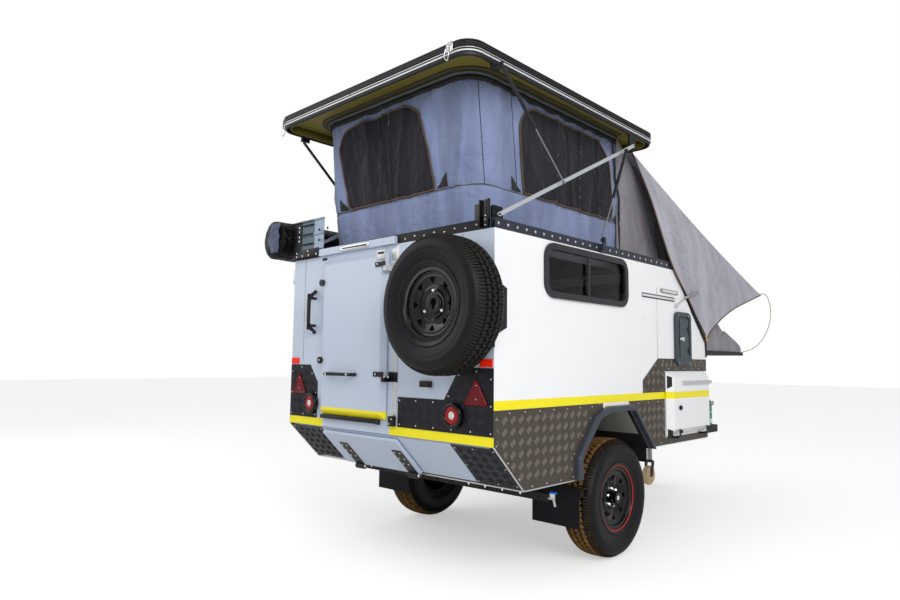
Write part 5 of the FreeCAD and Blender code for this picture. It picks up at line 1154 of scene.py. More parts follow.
def tent_surface(p, z, lift=0.0):
    """A point of the canvas wall: the plan at its height, pushed along its normal by the folds."""
    p, z = np.broadcast_arrays(np.asarray(p, dtype=float), np.asarray(z, dtype=float))
    t = (z - TENT_LOW_Z) / (TENT_HIGH_Z - TENT_LOW_Z)
    x, y, nx, ny = tent_plan(p, t)
    depth = size("canvas_fold")
    run = np.where(p > 2.5, 1, -1) * (x - y * 1.3) * 1.1
    slack = smooth_noise(run * 9, z * 2.0, 11) * depth * 0.7
    upright = pleats(run, z, 23) * depth * 0.9 - pleats(run + 3.1, z, 29, 13.0) * depth * 0.5
    slanted = pleats(run + z * 0.55, z, 37, 7.0) * depth * 0.5
    creases = smooth_noise(run * 26 + z * 9, z * 16 - run * 8, 5, 9) * depth * 0.16
    skirt = np.where(z < TENT_SEAM_Z, 0.55, 1.0)
    near_seam = np.exp(-((z - TENT_SEAM_Z) / 0.02) ** 2)
    belly = np.sin(np.clip(t, 0, 1) * math.pi) * depth * 0.5
    hold = np.clip(np.minimum(t, 1 - t) * 14, 0, 1)
    push = ((slack + upright + slanted + creases) * skirt + belly) * hold - near_seam * depth * 0.3 + lift
    return np.stack([x + nx * push, y + ny * push, z], axis=-1)


def window_inset(dz, height):
    """How far a window's side draws in at a height from its middle, by the arc of the corner there."""
    inset = np.zeros_like(dz)
    for radius, way in zip(WINDOW_CORNERS, (1, -1)):
        drop = np.clip(way * dz - (height / 2 - radius), 0, radius)
        inset += radius - np.sqrt(np.maximum(radius ** 2 - drop ** 2, 0))
    return inset


def tent_window(name, p_of, middle, width, lean):
    """A mesh window on the canvas: its dark cloth, its wavy piping, its double zip and the dark tabs at its
    low corners. The window leans by a share of its height."""
    low, high = WINDOW_LOW, WINDOW_HIGH
    height = high - low
    centre = (low + high) / 2
    dz = np.linspace(-height / 2, height / 2, 70)
    u = np.linspace(-1, 1, 90)
    x = u * (width / 2 - window_inset(dz, height))[:, None] + middle + lean * dz[:, None]
    z = np.broadcast_to(dz[:, None] + centre, x.shape)
    hang = pleats(x, z, 61, 11.0) * 0.010 * (1 - np.abs(u) ** 6)
    pieces = [grid_object(name + "_mesh", tent_surface(p_of(x), z, 0.003 + hang), "mesh_window")]
    dense = closed_path(round_outline(width, height, *WINDOW_CORNERS, 10), 240)
    wave = smooth_noise(dense[:, 0] * 22, dense[:, 1] * 22, 67) * 0.006
    ring_x = dense[:, 0] * (1 + wave) + middle + lean * dense[:, 1]
    line = tent_surface(p_of(ring_x), dense[:, 1] + wave + centre, 0.009)
    pieces.append(tube(name + "_piping", line, size("piping"), "brown_piping", 8, True))
    zs = np.linspace(low + 0.004, high - 0.004, 90)
    sway = 0.006 * smooth_noise(zs * 9, zs * 0, 71)
    for label, shift in (("left", -0.007), ("right", 0.007)):
        line = tent_surface(p_of(middle + shift + sway + lean * (zs - centre)), zs, 0.010)
        pieces.append(tube(name + "_zip_" + label, line, 0.0042, "dark_cloth"))
    step = np.linspace(0, 1, 8)
    for label, way in (("low", -1), ("high", 1)):
        across = step * np.linspace(1, 0.05, 8)[:, None]
        tab_x = middle + way * width / 2 - lean * height / 2 + way * (0.012 + (1 - across) * 0.095)
        tab_z = low + 0.004 + 0.085 * step[:, None] + 0 * step
        tab = tent_surface(p_of(tab_x), tab_z, 0.006)
        pieces.append(grid_object(name + "_tab_" + label, tab, "dark_cloth"))
    return pieces


def tent_bands():
    """The clamped edge of the canvas under the roof: a scalloped black band, a grey green strip, a brown one
    that flares out to the roof's lining, and a black bead along it."""
    p = plan_steps(90, 90, 90, 90, 90)
    scallop = 0.006 * np.sin(p * 46) * np.where((p < 1) | (p > 4), 1.0, 0.3)
    pieces = []
    for name, low, high, lift, out in (("black", BAND_LOW_Z, BAND_MIDDLE_Z, 0.012, 0.020),
                                       ("green", BAND_MIDDLE_Z, BAND_HIGH_Z, 0.020, 0.030),
                                       ("brown", BAND_HIGH_Z, BAND_TOP_Z, 0.030, 0.065)):
        rows = [tent_surface(p, low - (scallop if name == "black" else 0), lift),
                tent_surface(p, (low + high) / 2, (lift + out) / 2 + 0.003),
                tent_surface(p, high, out)]
        pieces.append(grid_object("tent_band_" + name, np.array(rows), "band_" + name, thick=0.003,
                                  offset=-1.0))
    pieces.append(tube("tent_bead", tent_surface(p, BAND_TOP_Z - 0.001, 0.066), 0.004, "dark_cloth"))
    return pieces


def side_p(side):
    """The function from x on a side wall to the plan's parameter."""
    rear = TENT_REAR[0] + (TENT_REAR[1] - TENT_REAR[0]) * TENT_MIDDLE + TENT_CORNER
    front = TENT_FRONT[0] + (TENT_FRONT[1] - TENT_FRONT[0]) * TENT_MIDDLE
    return lambda x: (front - x) / (front - rear) if side < 0 else TENT_FOLD_END - (front - x) / (front - rear)


def rear_p(y):
    """The plan's parameter from y on the rear wall."""
    return 2.5 + y / (2 * (TENT_HALF - TENT_CORNER))


class TRAILER_OT_tent(bpy.types.Operator):
    """Add the canvas walls round the raised roof with their windows, seams and piping"""
    bl_idname = "trailer.tent"
    bl_label = "Tent walls"

    def execute(self, context):
        p = np.concatenate([plan_steps(150, 24, 120, 24), np.linspace(4, 5, 150)])
        z = np.linspace(TENT_LOW_Z, TENT_HIGH_Z - 0.001, 90)
        points = tent_surface(p, z[:, None])
        wall = grid_object("tent_canvas", points, "canvas", thick=0.002, offset=-1.0)
        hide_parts("tent_walls")
        pieces = [wall]
        for label, side in reversed(SIDES):
            pieces += tent_window("side_window_" + label, side_p(side), -0.275, 1.09, 0.03)
        pieces += tent_window("rear_window", rear_p, 0.075, 0.87, 0.14) + self.seams()
        squash_pieces(pieces)
        squash_pieces(tent_bands())
        return {"FINISHED"}

    def seams(self):
        """The sewn lines: one round the tent, one up each corner and side, and the strap at the front."""
        z = np.linspace(TENT_SEAM_Z, BAND_LOW_Z, 60)
        runs = [("round", tent_surface(np.linspace(0.0, TENT_FOLD_END, 400), TENT_SEAM_Z, 0.002), 0.0035,
                 "brown_piping")]
        for label, p in (("corner_right", 1.35), ("side_right", 0.86), ("corner_left", 3.65),
                         ("side_left", 4.14)):
            runs.append((label, tent_surface(p, z, 0.0015), 0.0022, "dark_cloth"))
        full = np.linspace(TENT_LOW_Z + 0.01, BAND_LOW_Z, 90)
        sway = 0.012 * np.sin((full - TENT_LOW_Z) * 5)
        for label, side in reversed(SIDES):
            x = STRAP_FOOT_X + (STRAP_HEAD_X - STRAP_FOOT_X) * (full - TENT_LOW_Z) / (BAND_LOW_Z - TENT_LOW_Z)
            runs.append(("strap_" + label, tent_surface(side_p(side)(x + sway), full, 0.020), 0.0075,
                         "dark_cloth"))
        return [tube("tent_seam_" + label, path, radius, name) for label, path, radius, name in runs]


FLY_TOP = (0.636, 0.76, 2.996)
FLY_HEM = (2.93, 0.95, 2.012)
FLY_LOW = (1.456, 0.990, 1.522)
FLY_PULL = (0.62, 0.8, 3.05)
FLY_EDGE = [FLY_TOP, (0.66, 0.90, 2.60), (0.80, 0.988, 2.115), (1.11, 0.992, 1.83), (1.40, 0.992, 1.555),
            FLY_LOW, (1.543, 0.990, 1.586), (1.808, 0.985, 1.711), (2.117, 0.978, 1.817),
            (2.448, 0.968, 1.900), FLY_HEM]
FLY_ROWS = 120
FLY_COLUMNS = 46
ROD_BOW = [(2.42, 1.424), (2.66, 1.455), (2.90, 1.523), (3.10, 1.63), (3.235, 1.76), (3.268, 1.87),
           (3.225, 1.975), (3.12, 2.035), (2.95, 2.028)]
ROD_Y = 0.9343


def fly_lower(v):
    """The fly wing's lower edge: down the rear edge to the buckle, then out along the bowed hem."""
    path = smooth_path(FLY_EDGE, 400)
    index = np.clip(v, 0, 1) * (len(path) - 1)
    return np.stack([np.interp(index, np.arange(len(path)), path[:, axis]) for axis in range(3)], axis=-1)


def fly_points():
    """The whole fly sheet on one grid: the left wing, the top and the right wing, side by side. A wing runs
    from its lower edge to the shoulder, a line with a little sag, and is pushed out by folds that fan from
    the roof's corner. The top sags as (1 - w ** 2)."""
    depth = size("canvas_fold")
    v = np.linspace(0.0, 1.0, FLY_ROWS)[:, None]
    w = np.linspace(0, 1, FLY_COLUMNS)
    bow = np.sin(v * math.pi)
    shoulder = np.array(FLY_TOP) * (1 - v) + np.array(FLY_HEM) * v - np.array([0, 0, 0.035]) * bow
    wing = fly_lower(v[:, 0])[:, None] * (1 - w[:, None]) + shoulder[:, None] * w[:, None]
    x, z = wing[..., 0], wing[..., 2]
    ripple = smooth_noise(x * 9 + z * 4, z * 8 - x * 3, 21, 9)
    angle = np.arctan2(z - FLY_PULL[2], x - FLY_PULL[0])
    far = np.hypot(x - FLY_PULL[0], z - FLY_PULL[2])
    rays = pleats(angle * 1.6, far * 0.4, 83, 9.0) - 0.6 * pleats(angle * 1.6 + 2.0, far * 0.4, 89, 14.0)
    crumple = smooth_noise(x * 31 - z * 9, z * 27 + x * 8, 97, 11)
    bent = pleats(x + z * 0.4, z - x * 0.3, 91, 12.0) - pleats(x * 0.7 - z, x, 93, 11.0) * 0.8
    push = ripple * 0.7 + rays * 0.8 + crumple * 0.4 + bent * 0.4 + 0.5
    wing[..., 1] += push * depth * np.sin(w * math.pi) * bow
    top_w = np.linspace(-1, 1, FLY_COLUMNS * 2)[1:-1]
    half = shoulder[:, 1:2]
    x = shoulder[:, :1] + 0 * top_w
    waves = smooth_noise(x * 5, top_w * half * 8, 31, 7) * 0.010 * bow
    z = shoulder[:, 2:] + (waves - bow * 0.05) * (1 - top_w ** 2)
    top = np.stack([x, -top_w * half, z], axis=-1)
    return np.concatenate([wing, top, wing[:, ::-1] * np.array([1, -1, 1])], axis=1)


class TRAILER_OT_fly(bpy.types.Operator):
    """Add the fly sheet over the bed with its piped hem, and the rods that hold it out"""
    bl_idname = "trailer.fly"
    bl_label = "Fly sheet"

    def execute(self, context):
        points = fly_points()
        sheet = grid_object("fly_cloth", points, "fly_canvas", flip=True, thick=0.002)
        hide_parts("fly_sheet")
        pieces = [sheet]
        bow = np.insert(np.array(ROD_BOW), 1, ROD_Y, axis=1)
        for label, side in SIDES:
            mirror = np.array([1, side, 1])
            edge = fly_lower(np.linspace(0.0, 1.0, 200)) * mirror
            pieces.append(tube("fly_hem_" + label, edge, 0.006, "brown_piping", 8))
            pieces.append(slab("fly_buckle_" + label, (1.442, side * 0.984, 1.502),
                               (1.462, side * 0.996, 1.532), "yellow_buckle", segments=3))
            pieces.append(tube("fly_rod_" + label, smooth_path(bow, 120) * mirror, 0.004, "spring_wire", 8))
        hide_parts("spring_rods")
        pieces.append(tube("fly_front_hem", resample(points[-1, 44:-44], 80), 0.008, "dark_cloth", 8))
        squash_pieces(pieces)
        return {"FINISHED"}


NOSE_ROWS = 90
NOSE_FRONT = [(0.556, 0, 3.055), (1.15, 0, 2.42), (1.995, 0, 1.66), (2.119, 0, 1.611), (2.403, 0, 1.50),
              (2.450, 0, 1.45), (2.438, 0, 1.424)]
NOSE_SIDE = [(0.375, 0.764, 3.055), (0.350, 0.770, 2.056), (0.887, 0.86, 2.056), (1.445, 0.905, 1.49),
             (1.46, 0.915, 1.424), (2.43, 0.915, 1.424)]


class TRAILER_OT_nose_tent(bpy.types.Operator):
    """Add the inner tent over the bed: its front sheet and its two side sheets"""
    bl_idname = "trailer.nose_tent"
    bl_label = "Nose tent"

    def execute(self, context):
        front = smooth_path(NOSE_FRONT, NOSE_ROWS)
        half = (0.915 - 0.215 * (front[:, 2:] - 1.42) / 1.64)
        bow = np.sin(np.linspace(0, math.pi, NOSE_ROWS))[:, None]
        w = np.linspace(-1, 1, 70)
        x = front[:, :1] + 0 * w
        y = w * half
        push = smooth_noise(x * 6, y * 5, 41) * 0.012 * (1 - w ** 2) * bow
        pieces = [self.panel("nose_front", np.stack([x + push, y, front[:, 2:] + push], axis=-1), True)]
        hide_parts("nose_tent")
        rear = resample(NOSE_SIDE, NOSE_ROWS)
        w = np.linspace(0, 1, 50)
        for label, side in SIDES:
            x, z = (front[:, i:i + 1] * (1 - w) + rear[:, i:i + 1] * w for i in (0, 2))
            edge = np.sin(w * math.pi) * bow
            folds = pleats(x + z * 0.3, z, 53 + side, 8.0) * 0.8
            folds = folds + smooth_noise(x * 12, z * 6, 51 + side) * 0.5
            y = half * (1 - w) + rear[:, 1:2] * w + folds * size("canvas_fold") * edge - 0.014 * edge
            pieces.append(self.panel("nose_side_" + label, np.stack([x, side * y, z], axis=-1), side > 0))
        squash_pieces(pieces)
        return {"FINISHED"}

    def panel(self, name, points, flip):
        """One sheet of the inner tent. Its sides are ruled between the front edge and the nose edge."""
        made = grid_object(name, points, "nose_canvas", flip=flip, thick=0.002)
        return made


BAG_ROWS = 150
BAG_COLUMNS = 96


def bag_points(low, high):
    """The awning bag's skin: rounded rings along x that bulge between its straps, wrinkle across their run
    and close in a gathered end."""
    middle = (low + high) / 2
    flat, radius = (high - low)[1:] / 2
    u = np.linspace(0, 1, BAG_ROWS)[:, None]
    a = angles(BAG_COLUMNS)
    x = low[0] + (high[0] - low[0]) * u
    end = np.clip(np.minimum(u, 1 - u) / 0.016, 0, 1)
    close = np.sqrt(np.maximum(1 - (1 - end) ** 2, 0))
    soft = smooth_noise(x * 7 + 0 * a, np.cos(a) * 3 + np.sin(a) * 2, 101) * 0.5
    creases = pleats(x * 0.6 + 0 * a, np.sin(a * 2) + a * 0.7, 103, 16.0)
    creases = creases - pleats(a * 0.8, x * 0.5, 107, 6.0) * 0.8
    gathers = np.cos(a * 11 + 1.3 * np.sin(a * 3)) * (1 - end)
    share = 1 - 0.015 + (soft + creases) * 0.030 + gathers * 0.03
    share = np.minimum(share, 1.01) * np.maximum(close, 0.02)
    y = middle[1] + np.cos(a) * flat * share
    z = middle[2] + np.sin(a) * radius * share
    return np.stack([x + 0 * a, y, z], axis=-1)


class TRAILER_OT_awning(bpy.types.Operator):
    """Add the awning bag's creased skin, its straps and the flap on its end, drawn lighter as painted
    highlight
    """
    bl_idname = "trailer.awning"
    bl_label = "Awning bag"

    def execute(self, context):
        low, high = box("awning_bag")
        middle = (low + high) / 2
        flat, radius = (high - low)[1:] / 2
        faces = [tuple(face) for face in grid_faces(BAG_ROWS, BAG_COLUMNS, False, True)]
        faces.append(tuple(range(BAG_COLUMNS)))
        faces.append(tuple(range((BAG_ROWS - 1) * BAG_COLUMNS, BAG_ROWS * BAG_COLUMNS)))
        skin = bag_points(low, high).reshape(-1, 3)
        bag = face_outwards(mesh_object("awning_skin", skin, faces, "awning_pvc"))
        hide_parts("awning_bag")
        v = np.linspace(-1, 1, 34)[:, None]
        h = np.linspace(-1, 1, 30)
        ragged = smooth_noise(v * 5 + 0 * h, h * 2 + 0 * v, 113, 5) * 0.016
        fold = smooth_noise(h * 7 + v * 2, v * 9 - h * 3, 109, 9) * 0.010
        x = low[0] - 0.010 + 0.010 * (v ** 2 + h ** 2) + fold
        y = middle[1] - 0.036 + h * 0.070 * (1 - 0.25 * np.abs(v)) + ragged
        z = middle[2] + 0.006 + v * 0.112 + 0 * h
        # Painted highlight: the black flap is drawn blue grey for its bluish highlights.
        grid_object("awning_flap", np.stack([x, y, z], axis=-1), "awning_flap", thick=0.004)
        turn = angles(72)
        for index, share in enumerate((0.18, 0.5, 0.82)):
            ring = np.column_stack([np.full(72, low[0] + (high[0] - low[0]) * share),
                                    middle[1] + np.cos(turn) * flat, middle[2] + np.sin(turn) * radius])
            tube("awning_strap_{}".format(index), ring, 0.004, "dark_cloth", closed=True)
        return {"FINISHED"}


ROOF_LINES = {
    "roof_line": (0.022, 0.0048, 0.001, "trim_white"),
    "roof_line_low": (0.039, 0.0026, 0.001, "bright_edge"),
    "roof_ridge_low": (0.056, 0.0045, 0.0, "roof_black"),
    "roof_ridge_middle": (0.069, 0.0045, 0.0, "roof_black"),
    "roof_ridge_high": (0.082, 0.0045, 0.0, "roof_black"),
    "roof_seal": (0.001, 0.008, -0.010, "black_rubber"),
}
ROOF_PROUD = 0.0006


class TRAILER_OT_roof(bpy.types.Operator):
    """Add the roof's bright line, lower trims and toggle clamps"""
    bl_idname = "trailer.roof"
    bl_label = "Roof"

    def execute(self, context):
        low, high = box("roof_shell")
        width, depth = (high - low)[:2]
        centre = np.array([(low[0] + high[0]) / 2, 0, low[2]])
        for name, (rise, radius, grow, finish_name) in ROOF_LINES.items():
            path = closed_path(round_outline(width + grow * 2, depth + grow * 2, 0.11, steps=12), 260)
            made = tube(name, path + centre + UP * rise, radius, finish_name, 8, True, "roof")
            self.flatten(made, low[0] - ROOF_PROUD + OFFSET[0])
        ring = closed_path(round_outline(width - 0.07, depth - 0.07, 0.10, steps=12), 240)
        ring = np.vstack([ring, ring[:1]]) + centre
        rows = np.array([ring + UP * rise for rise in (0.0, 0.02, 0.055)])
        grid_object("roof_band", rows, "olive_trim", "roof", thick=0.004)
        self.toggle_clamp("left", np.array([low[0] + 0.045, high[1] - 0.016, low[2]]), np.array([0, 1, 0]))
        self.toggle_clamp("right", np.array([low[0], -0.812, low[2]]), np.array([-1, 0, 0]))
        return {"FINISHED"}

    def flatten(self, made, limit):
        """Keeps a trim from standing out of the roof's rear face, which comes down behind a plate."""
        points = np.empty(len(made.data.vertices) * 3)
        made.data.vertices.foreach_get("co", points)
        points[::3] = np.maximum(points[::3], limit)
        made.data.vertices.foreach_set("co", points)
        made.data.update()

    def toggle_clamp(self, label, spot, out):
        """One bright over-centre clamp on the roof's edge, with its lever and hanging ring."""
        across = np.abs(np.cross(out, [0, 0, 1]))
        for part, inner, outer, half, bottom, top, finish_name in (
                ("plate", 0.001, 0.005, 0.020, 0.030, 0.090, "chrome"),
                ("lever", 0.005, 0.022, 0.012, 0.020, 0.070, "bright_edge")):
            slab("clamp_{}_{}".format(part, label), spot + out * inner - across * half + UP * bottom,
                 spot + out * outer + across * half + UP * top, finish_name, body="roof")
        ring = [spot + out * reach + across * side + UP * rise for reach, side, rise in (
            (0.024, -0.014, 0.045), (0.030, -0.016, 0.0), (0.026, 0.0, -0.030), (0.030, 0.016, 0.0),
            (0.024, 0.014, 0.045))]
        tube("clamp_ring_" + label, smooth_path(ring, 40), 0.0032, "chrome", 8, body="roof")


RAIL_STEP = 0.086


class TRAILER_OT_rails(bpy.types.Operator):
    """Add the bright dots along the side rails"""
    bl_idname = "trailer.rails"
    bl_label = "Rails"

    def execute(self, context):
        for label, side in SIDES:
            places = [(x, side * (BODY_HALF + 0.0002), EAVE_Z + 0.030)
                      for x in np.arange(REAR_X + 0.034, 0.87, RAIL_STEP)]
            domes("rail_dots_" + label, places, size("rail_hole"), 0.003, 14, "bright_edge", (0, side, 0))
        return {"FINISHED"}


LAMP_Y = 0.695
LAMP_Z = 1.0
TRIANGLE_INSET = 0.120


class TRAILER_OT_lamps(bpy.types.Operator):
    """Add the tail lamps' rings, lenses and small lights, the triangles' frames and the number light"""
    bl_idname = "trailer.lamps"
    bl_label = "Lamps"

    def execute(self, context):
        proud = REAR_X - box("rear_lamps")[0][0]
        for label, side in SIDES:
            centre = np.array([REAR_X, side * LAMP_Y, LAMP_Z])
            ring = [(0.004, 0.0705), (proud + 0.001, 0.0705), (proud + 0.006, 0.067), (proud + 0.006, 0.055),
                    (proud + 0.001, 0.051), (0.004, 0.051)]
            lens = [(proud - 0.004, 0.052), (proud + 0.002, 0.052), (proud + 0.005, 0.043),
                    (proud + 0.006, 0.026), (proud + 0.004, 0.023), (proud - 0.004, 0.023)]
            heart = [(proud - 0.004, 0.0005), (proud - 0.004, 0.023), (proud + 0.004, 0.023),
                     (proud + 0.007, 0.012), (proud + 0.008, 0.0005)]
            lathe("lamp_ring_" + label, ring, centre, BACK, "rim_black", steps=64)
            lathe("lamp_lens_" + label, lens, centre, BACK, "red_lens", steps=64)
            lathe("lamp_heart_" + label, heart, centre, BACK, "lens_white", steps=48)
            for name, rise, radius, count, width, finish_name in (
                    ("lamp_dots_", 0.0042, 0.036, 12, 0.0040, "red_glow"),
                    ("lamp_points_", 0.0058, 0.0115, 5, 0.0038, "band_black")):
                places = [centre + (-proud - rise, radius * math.cos(a), radius * math.sin(a))
                          for a in angles(count)]
                rivets(name + label, places, width, finish_name)
            middle = side * (BODY_HALF - TRIANGLE_INSET)
            x = REAR_X - 0.0105
            corners = [(x, middle - 0.078, 1.069), (x, middle + 0.078, 1.069), (x, middle, 1.202)]
            tube("triangle_frame_" + label, closed_path(corners, 60), 0.004, "red_lens", closed=True)
            rivets("triangle_screws_" + label, [(x, middle, 1.175), (x, middle, 1.098)], 0.005)
        slab("number_light", (REAR_X - 0.016, -0.507, 1.149), (REAR_X - 0.001, -0.409, 1.187), "black_rubber",
             0.005)
        slab("number_light_lens", (REAR_X - 0.017, -0.490, 1.145), (REAR_X - 0.004, -0.426, 1.150),
             "clear_lens", 0.001)
        return {"FINISHED"}


HINGE_FACE = -1.4032


class TRAILER_OT_rear_details(bpy.types.Operator):
    """Add the rear wall's seams, header light, catches, bolts and black corner pieces"""
    bl_idname = "trailer.rear_details"
    bl_label = "Rear details"

    def execute(self, context):
        wall = REAR_X
        self.wall_and_header(wall)
        self.awning_plate()
        self.upright(wall)
        self.catches(wall)
        self.door(wall)
        self.hinges_and_grab(wall)
        self.step()
        return {"FINISHED"}

    def wall_and_header(self, wall):
        """The wall's seams, the door's channel, the header's light and rivets, and the rail's bolts."""
        for name, y in (("left", 0.833), ("right", -0.741)):
            slab("rear_seam_" + name, (wall - 0.0012, y, 1.30), (wall, y + 0.003, 2.045), "zinc", 0.0)
        slab("door_channel", (wall - 0.004, -0.196, 0.900), (wall, -0.166, 2.040), "bright_edge")
        heights = (0.93, 0.97, 1.03, 1.09, 1.40, 1.60, 1.80)
        rivets("door_channel_rivets", [(wall - 0.004, -0.181, z) for z in heights], 0.0035, "zinc")
        header = wall - 0.026
        slab("header_light", (header - 0.010, 0.077, 2.050), (header, 0.375, 2.085), "chrome", 0.005)
        slab("header_lens", (header - 0.0115, 0.095, 2.062), (header - 0.006, 0.357, 2.074), "utility_grey")
        rivets("header_rivets", [(header, y, 2.068) for y in (-0.150, -0.060, 0.030, 0.440, 0.530, 0.615)],
               0.004, "zinc")
        ys = np.append(np.arange(-0.93, 0.60, 0.085), [0.745, 0.811, 0.882, 0.945])
        rivets("rear_rail_bolts", [(wall - 0.0005, y, EAVE_Z + (0.031 if i % 2 else 0.022))
                                   for i, y in enumerate(ys)], 0.007)
        slab("side_catch", (wall + 0.004, BODY_HALF, 1.869), (wall + 0.052, BODY_HALF + 0.026, 1.974),
             "bright_edge", 0.004)

    def awning_plate(self):
        """The bolts of the awning's plate, its holes as dark patches of painted shade, its dark lines, and the
        bolted cover under it.
        """
        plate = box("awning_brackets")[0][0] - 0.0002
        rivets("awning_bolts", [(plate, 0.892, z) for z in (2.282, 2.253, 2.211, 2.181)], 0.010)
        rivets("awning_holes", [(plate, y, z) for y in (0.641, 0.540) for z in (2.240, 2.165)], 0.010,
               "deep_black")
        for name, z in (("low", 2.150), ("middle", 2.222), ("high", 2.290)):
            slab("awning_line_" + name, (plate - 0.002, 0.715, z - 0.004), (plate, 0.868, z + 0.004),
                 "deep_black", 0.0)
        slab("rear_cover", (plate - 0.003, 0.640, 2.050), (plate - 0.0002, 0.974, 2.112), "rail_steel", 0.001)
        spots = ((0.914, 2.066), (0.839, 2.066), (0.764, 2.066), (0.669, 2.066), (0.914, 2.092),
                 (0.774, 2.098))
        rivets("rear_cover_bolts", [(plate - 0.003, y, z) for y, z in spots], 0.009)

    def upright(self, wall):
        """The black channel on the right corner."""
        for name, y in (("outer", -0.944), ("inner", -0.882)):
            slab("upright_flange_" + name, (wall - 0.022, y - 0.003, 2.056),
                 (wall - 0.0004, y + 0.003, 2.212), "rim_black", 0.001)
        slab("upright_web", (wall - 0.005, -0.944, 2.056), (wall - 0.0006, -0.882, 2.212), "rim_black", 0.001)
        slab("upright_plate", (wall + 0.030, -0.860, 2.056), (wall + 0.036, -0.800, 2.205), "rim_black")
        rivets("upright_bolts", [(wall - 0.005, -0.913, z) for z in (2.066, 2.098, 2.120)], 0.006)

    def catches(self, wall):
        """The bright top catch, half on the wall and half on the door, and the black piece at its foot."""
        door = DOOR_FACE
        slab("catch_wall", (wall - 0.006, -0.176, 1.950), (wall - 0.0004, -0.134, 2.018), "bright_edge")
        slab("catch_door", (door - 0.006, -0.115, 1.950), (door - 0.0004, -0.034, 2.010), "bright_edge",
             body="rear_door")
        slab("catch_bar", (door - 0.012, -0.105, 1.985), (door - 0.005, -0.050, 1.998), "band_black", 0.003,
             "rear_door")
        slab("foot_piece", (wall - 0.030, -0.196, 0.900), (wall - 0.0004, -0.146, 0.962), "black_rubber",
             0.004)
        rivets("foot_piece_bolts", [(wall - 0.030, -0.182, 0.945), (wall - 0.030, -0.160, 0.915)], 0.006)

    def door(self, wall):
        """The door's black corner pieces, its grip with two bolts, a dark strip under it as painted shadow and
        the hearts of its locks.
        """
        for name, low, high in (("top", (0.508, 2.000), (0.562, 2.020)),
                                ("foot", (-0.098, 0.905), (-0.050, 0.935))):
            slab("door_corner_" + name, (DOOR_FACE - 0.004, *low), (DOOR_FACE - 0.0002, *high),
                 "black_rubber", body="rear_door")
        for name, z, finish_name in (("low", 1.303, "chrome"), ("high", 1.844, "blue_cap")):
            rivets("door_lock_" + name, [(DOOR_FACE - 0.0162, 0.551, z)], 0.008, finish_name, body="rear_door")
        x = box("door_fittings")[0][0]
        z = 1.212
        rod("door_grip", [(DOOR_FACE - 0.004, 0.442, z), (x + 0.010, 0.428, z), (x + 0.010, 0.170, z),
                          (DOOR_FACE - 0.004, 0.156, z)], 0.0115, "black_rubber", "rear_door")
        # Painted shadow: a dark strip just under the door stands for the shade beneath it.
        door_foot_z = box("rear_door")[0][2]
        slab("door_sill", (wall - 0.030, -0.044, door_foot_z - 0.030), (wall - 0.0004, 0.566, door_foot_z - 0.004),
             "black_steel")
        rivets("door_handle_bolts", [(x - 0.0014, y, z) for y in (0.186, 0.412)], 0.009, body="rear_door")

    def hinges_and_grab(self, wall):
        """Bright bolts on the hinge plates and the grab handle with its grip."""
        rivets("hinge_bolts", [(HINGE_FACE, y, z) for z in (1.203, 1.905) for y in (-0.178, -0.140)], 0.007)
        rivets("leaf_bolts", [(HINGE_FACE, -0.052, z) for z in (1.218, 1.920)], 0.007, body="rear_door")
        y = 0.695
        rod("grab_grip", [(wall - 0.003, y, 1.498), (wall - 0.030, y, 1.520), (-1.404, y, 1.565),
                          (-1.404, y, 1.730), (wall - 0.030, y, 1.775), (wall - 0.003, y, 1.797)], 0.0135,
            "black_rubber")
        rivets("grab_bolts", [(wall - 0.030, y, z) for z in (1.502, 1.793)], 0.010)

    def step(self):
        """The bolts and the dark knuckles of the step's straps, placed along the straps' own run."""
        down, outward, _ = skirt_directions()
        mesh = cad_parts["step_hinges"].data
        points = np.empty(len(mesh.vertices) * 3)
        mesh.vertices.foreach_get("co", points)
        straps = points.reshape(-1, 3) - OFFSET - SKIRT_TOP
        run = straps @ down
        face = (straps @ outward)[run < run.min() + 0.12].max() + 0.0002
        for label, middle in (("right", -0.128), ("left", 0.412)):
            places = [SKIRT_TOP + down * (run.min() + along) + outward * face + (0, middle + way * 0.024, 0)
                      for along in (0.020, 0.075, 0.130) for way in (-1, 1)]
            rivets("step_bolts_" + label, places, 0.0075, normal=outward, body="step_hatch")
            knob = SKIRT_TOP + down * (run.max() - 0.008) + outward * (face + 0.004) + (0, middle, 0)
            rod("step_knuckle_" + label, [knob - (0, 0.042, 0), knob + (0, 0.042, 0)], 0.021, "black_steel",
                "step_hatch")
            for name, way in (("low", -1), ("high", 1)):
                rivets("step_knob_{}_{}".format(label, name), [knob + (0, way * 0.044, 0)], 0.013,
                       normal=(0, way, 0), body="step_hatch")


CHANNEL_FACE = -0.7246
CHANNEL_Z = 0.504


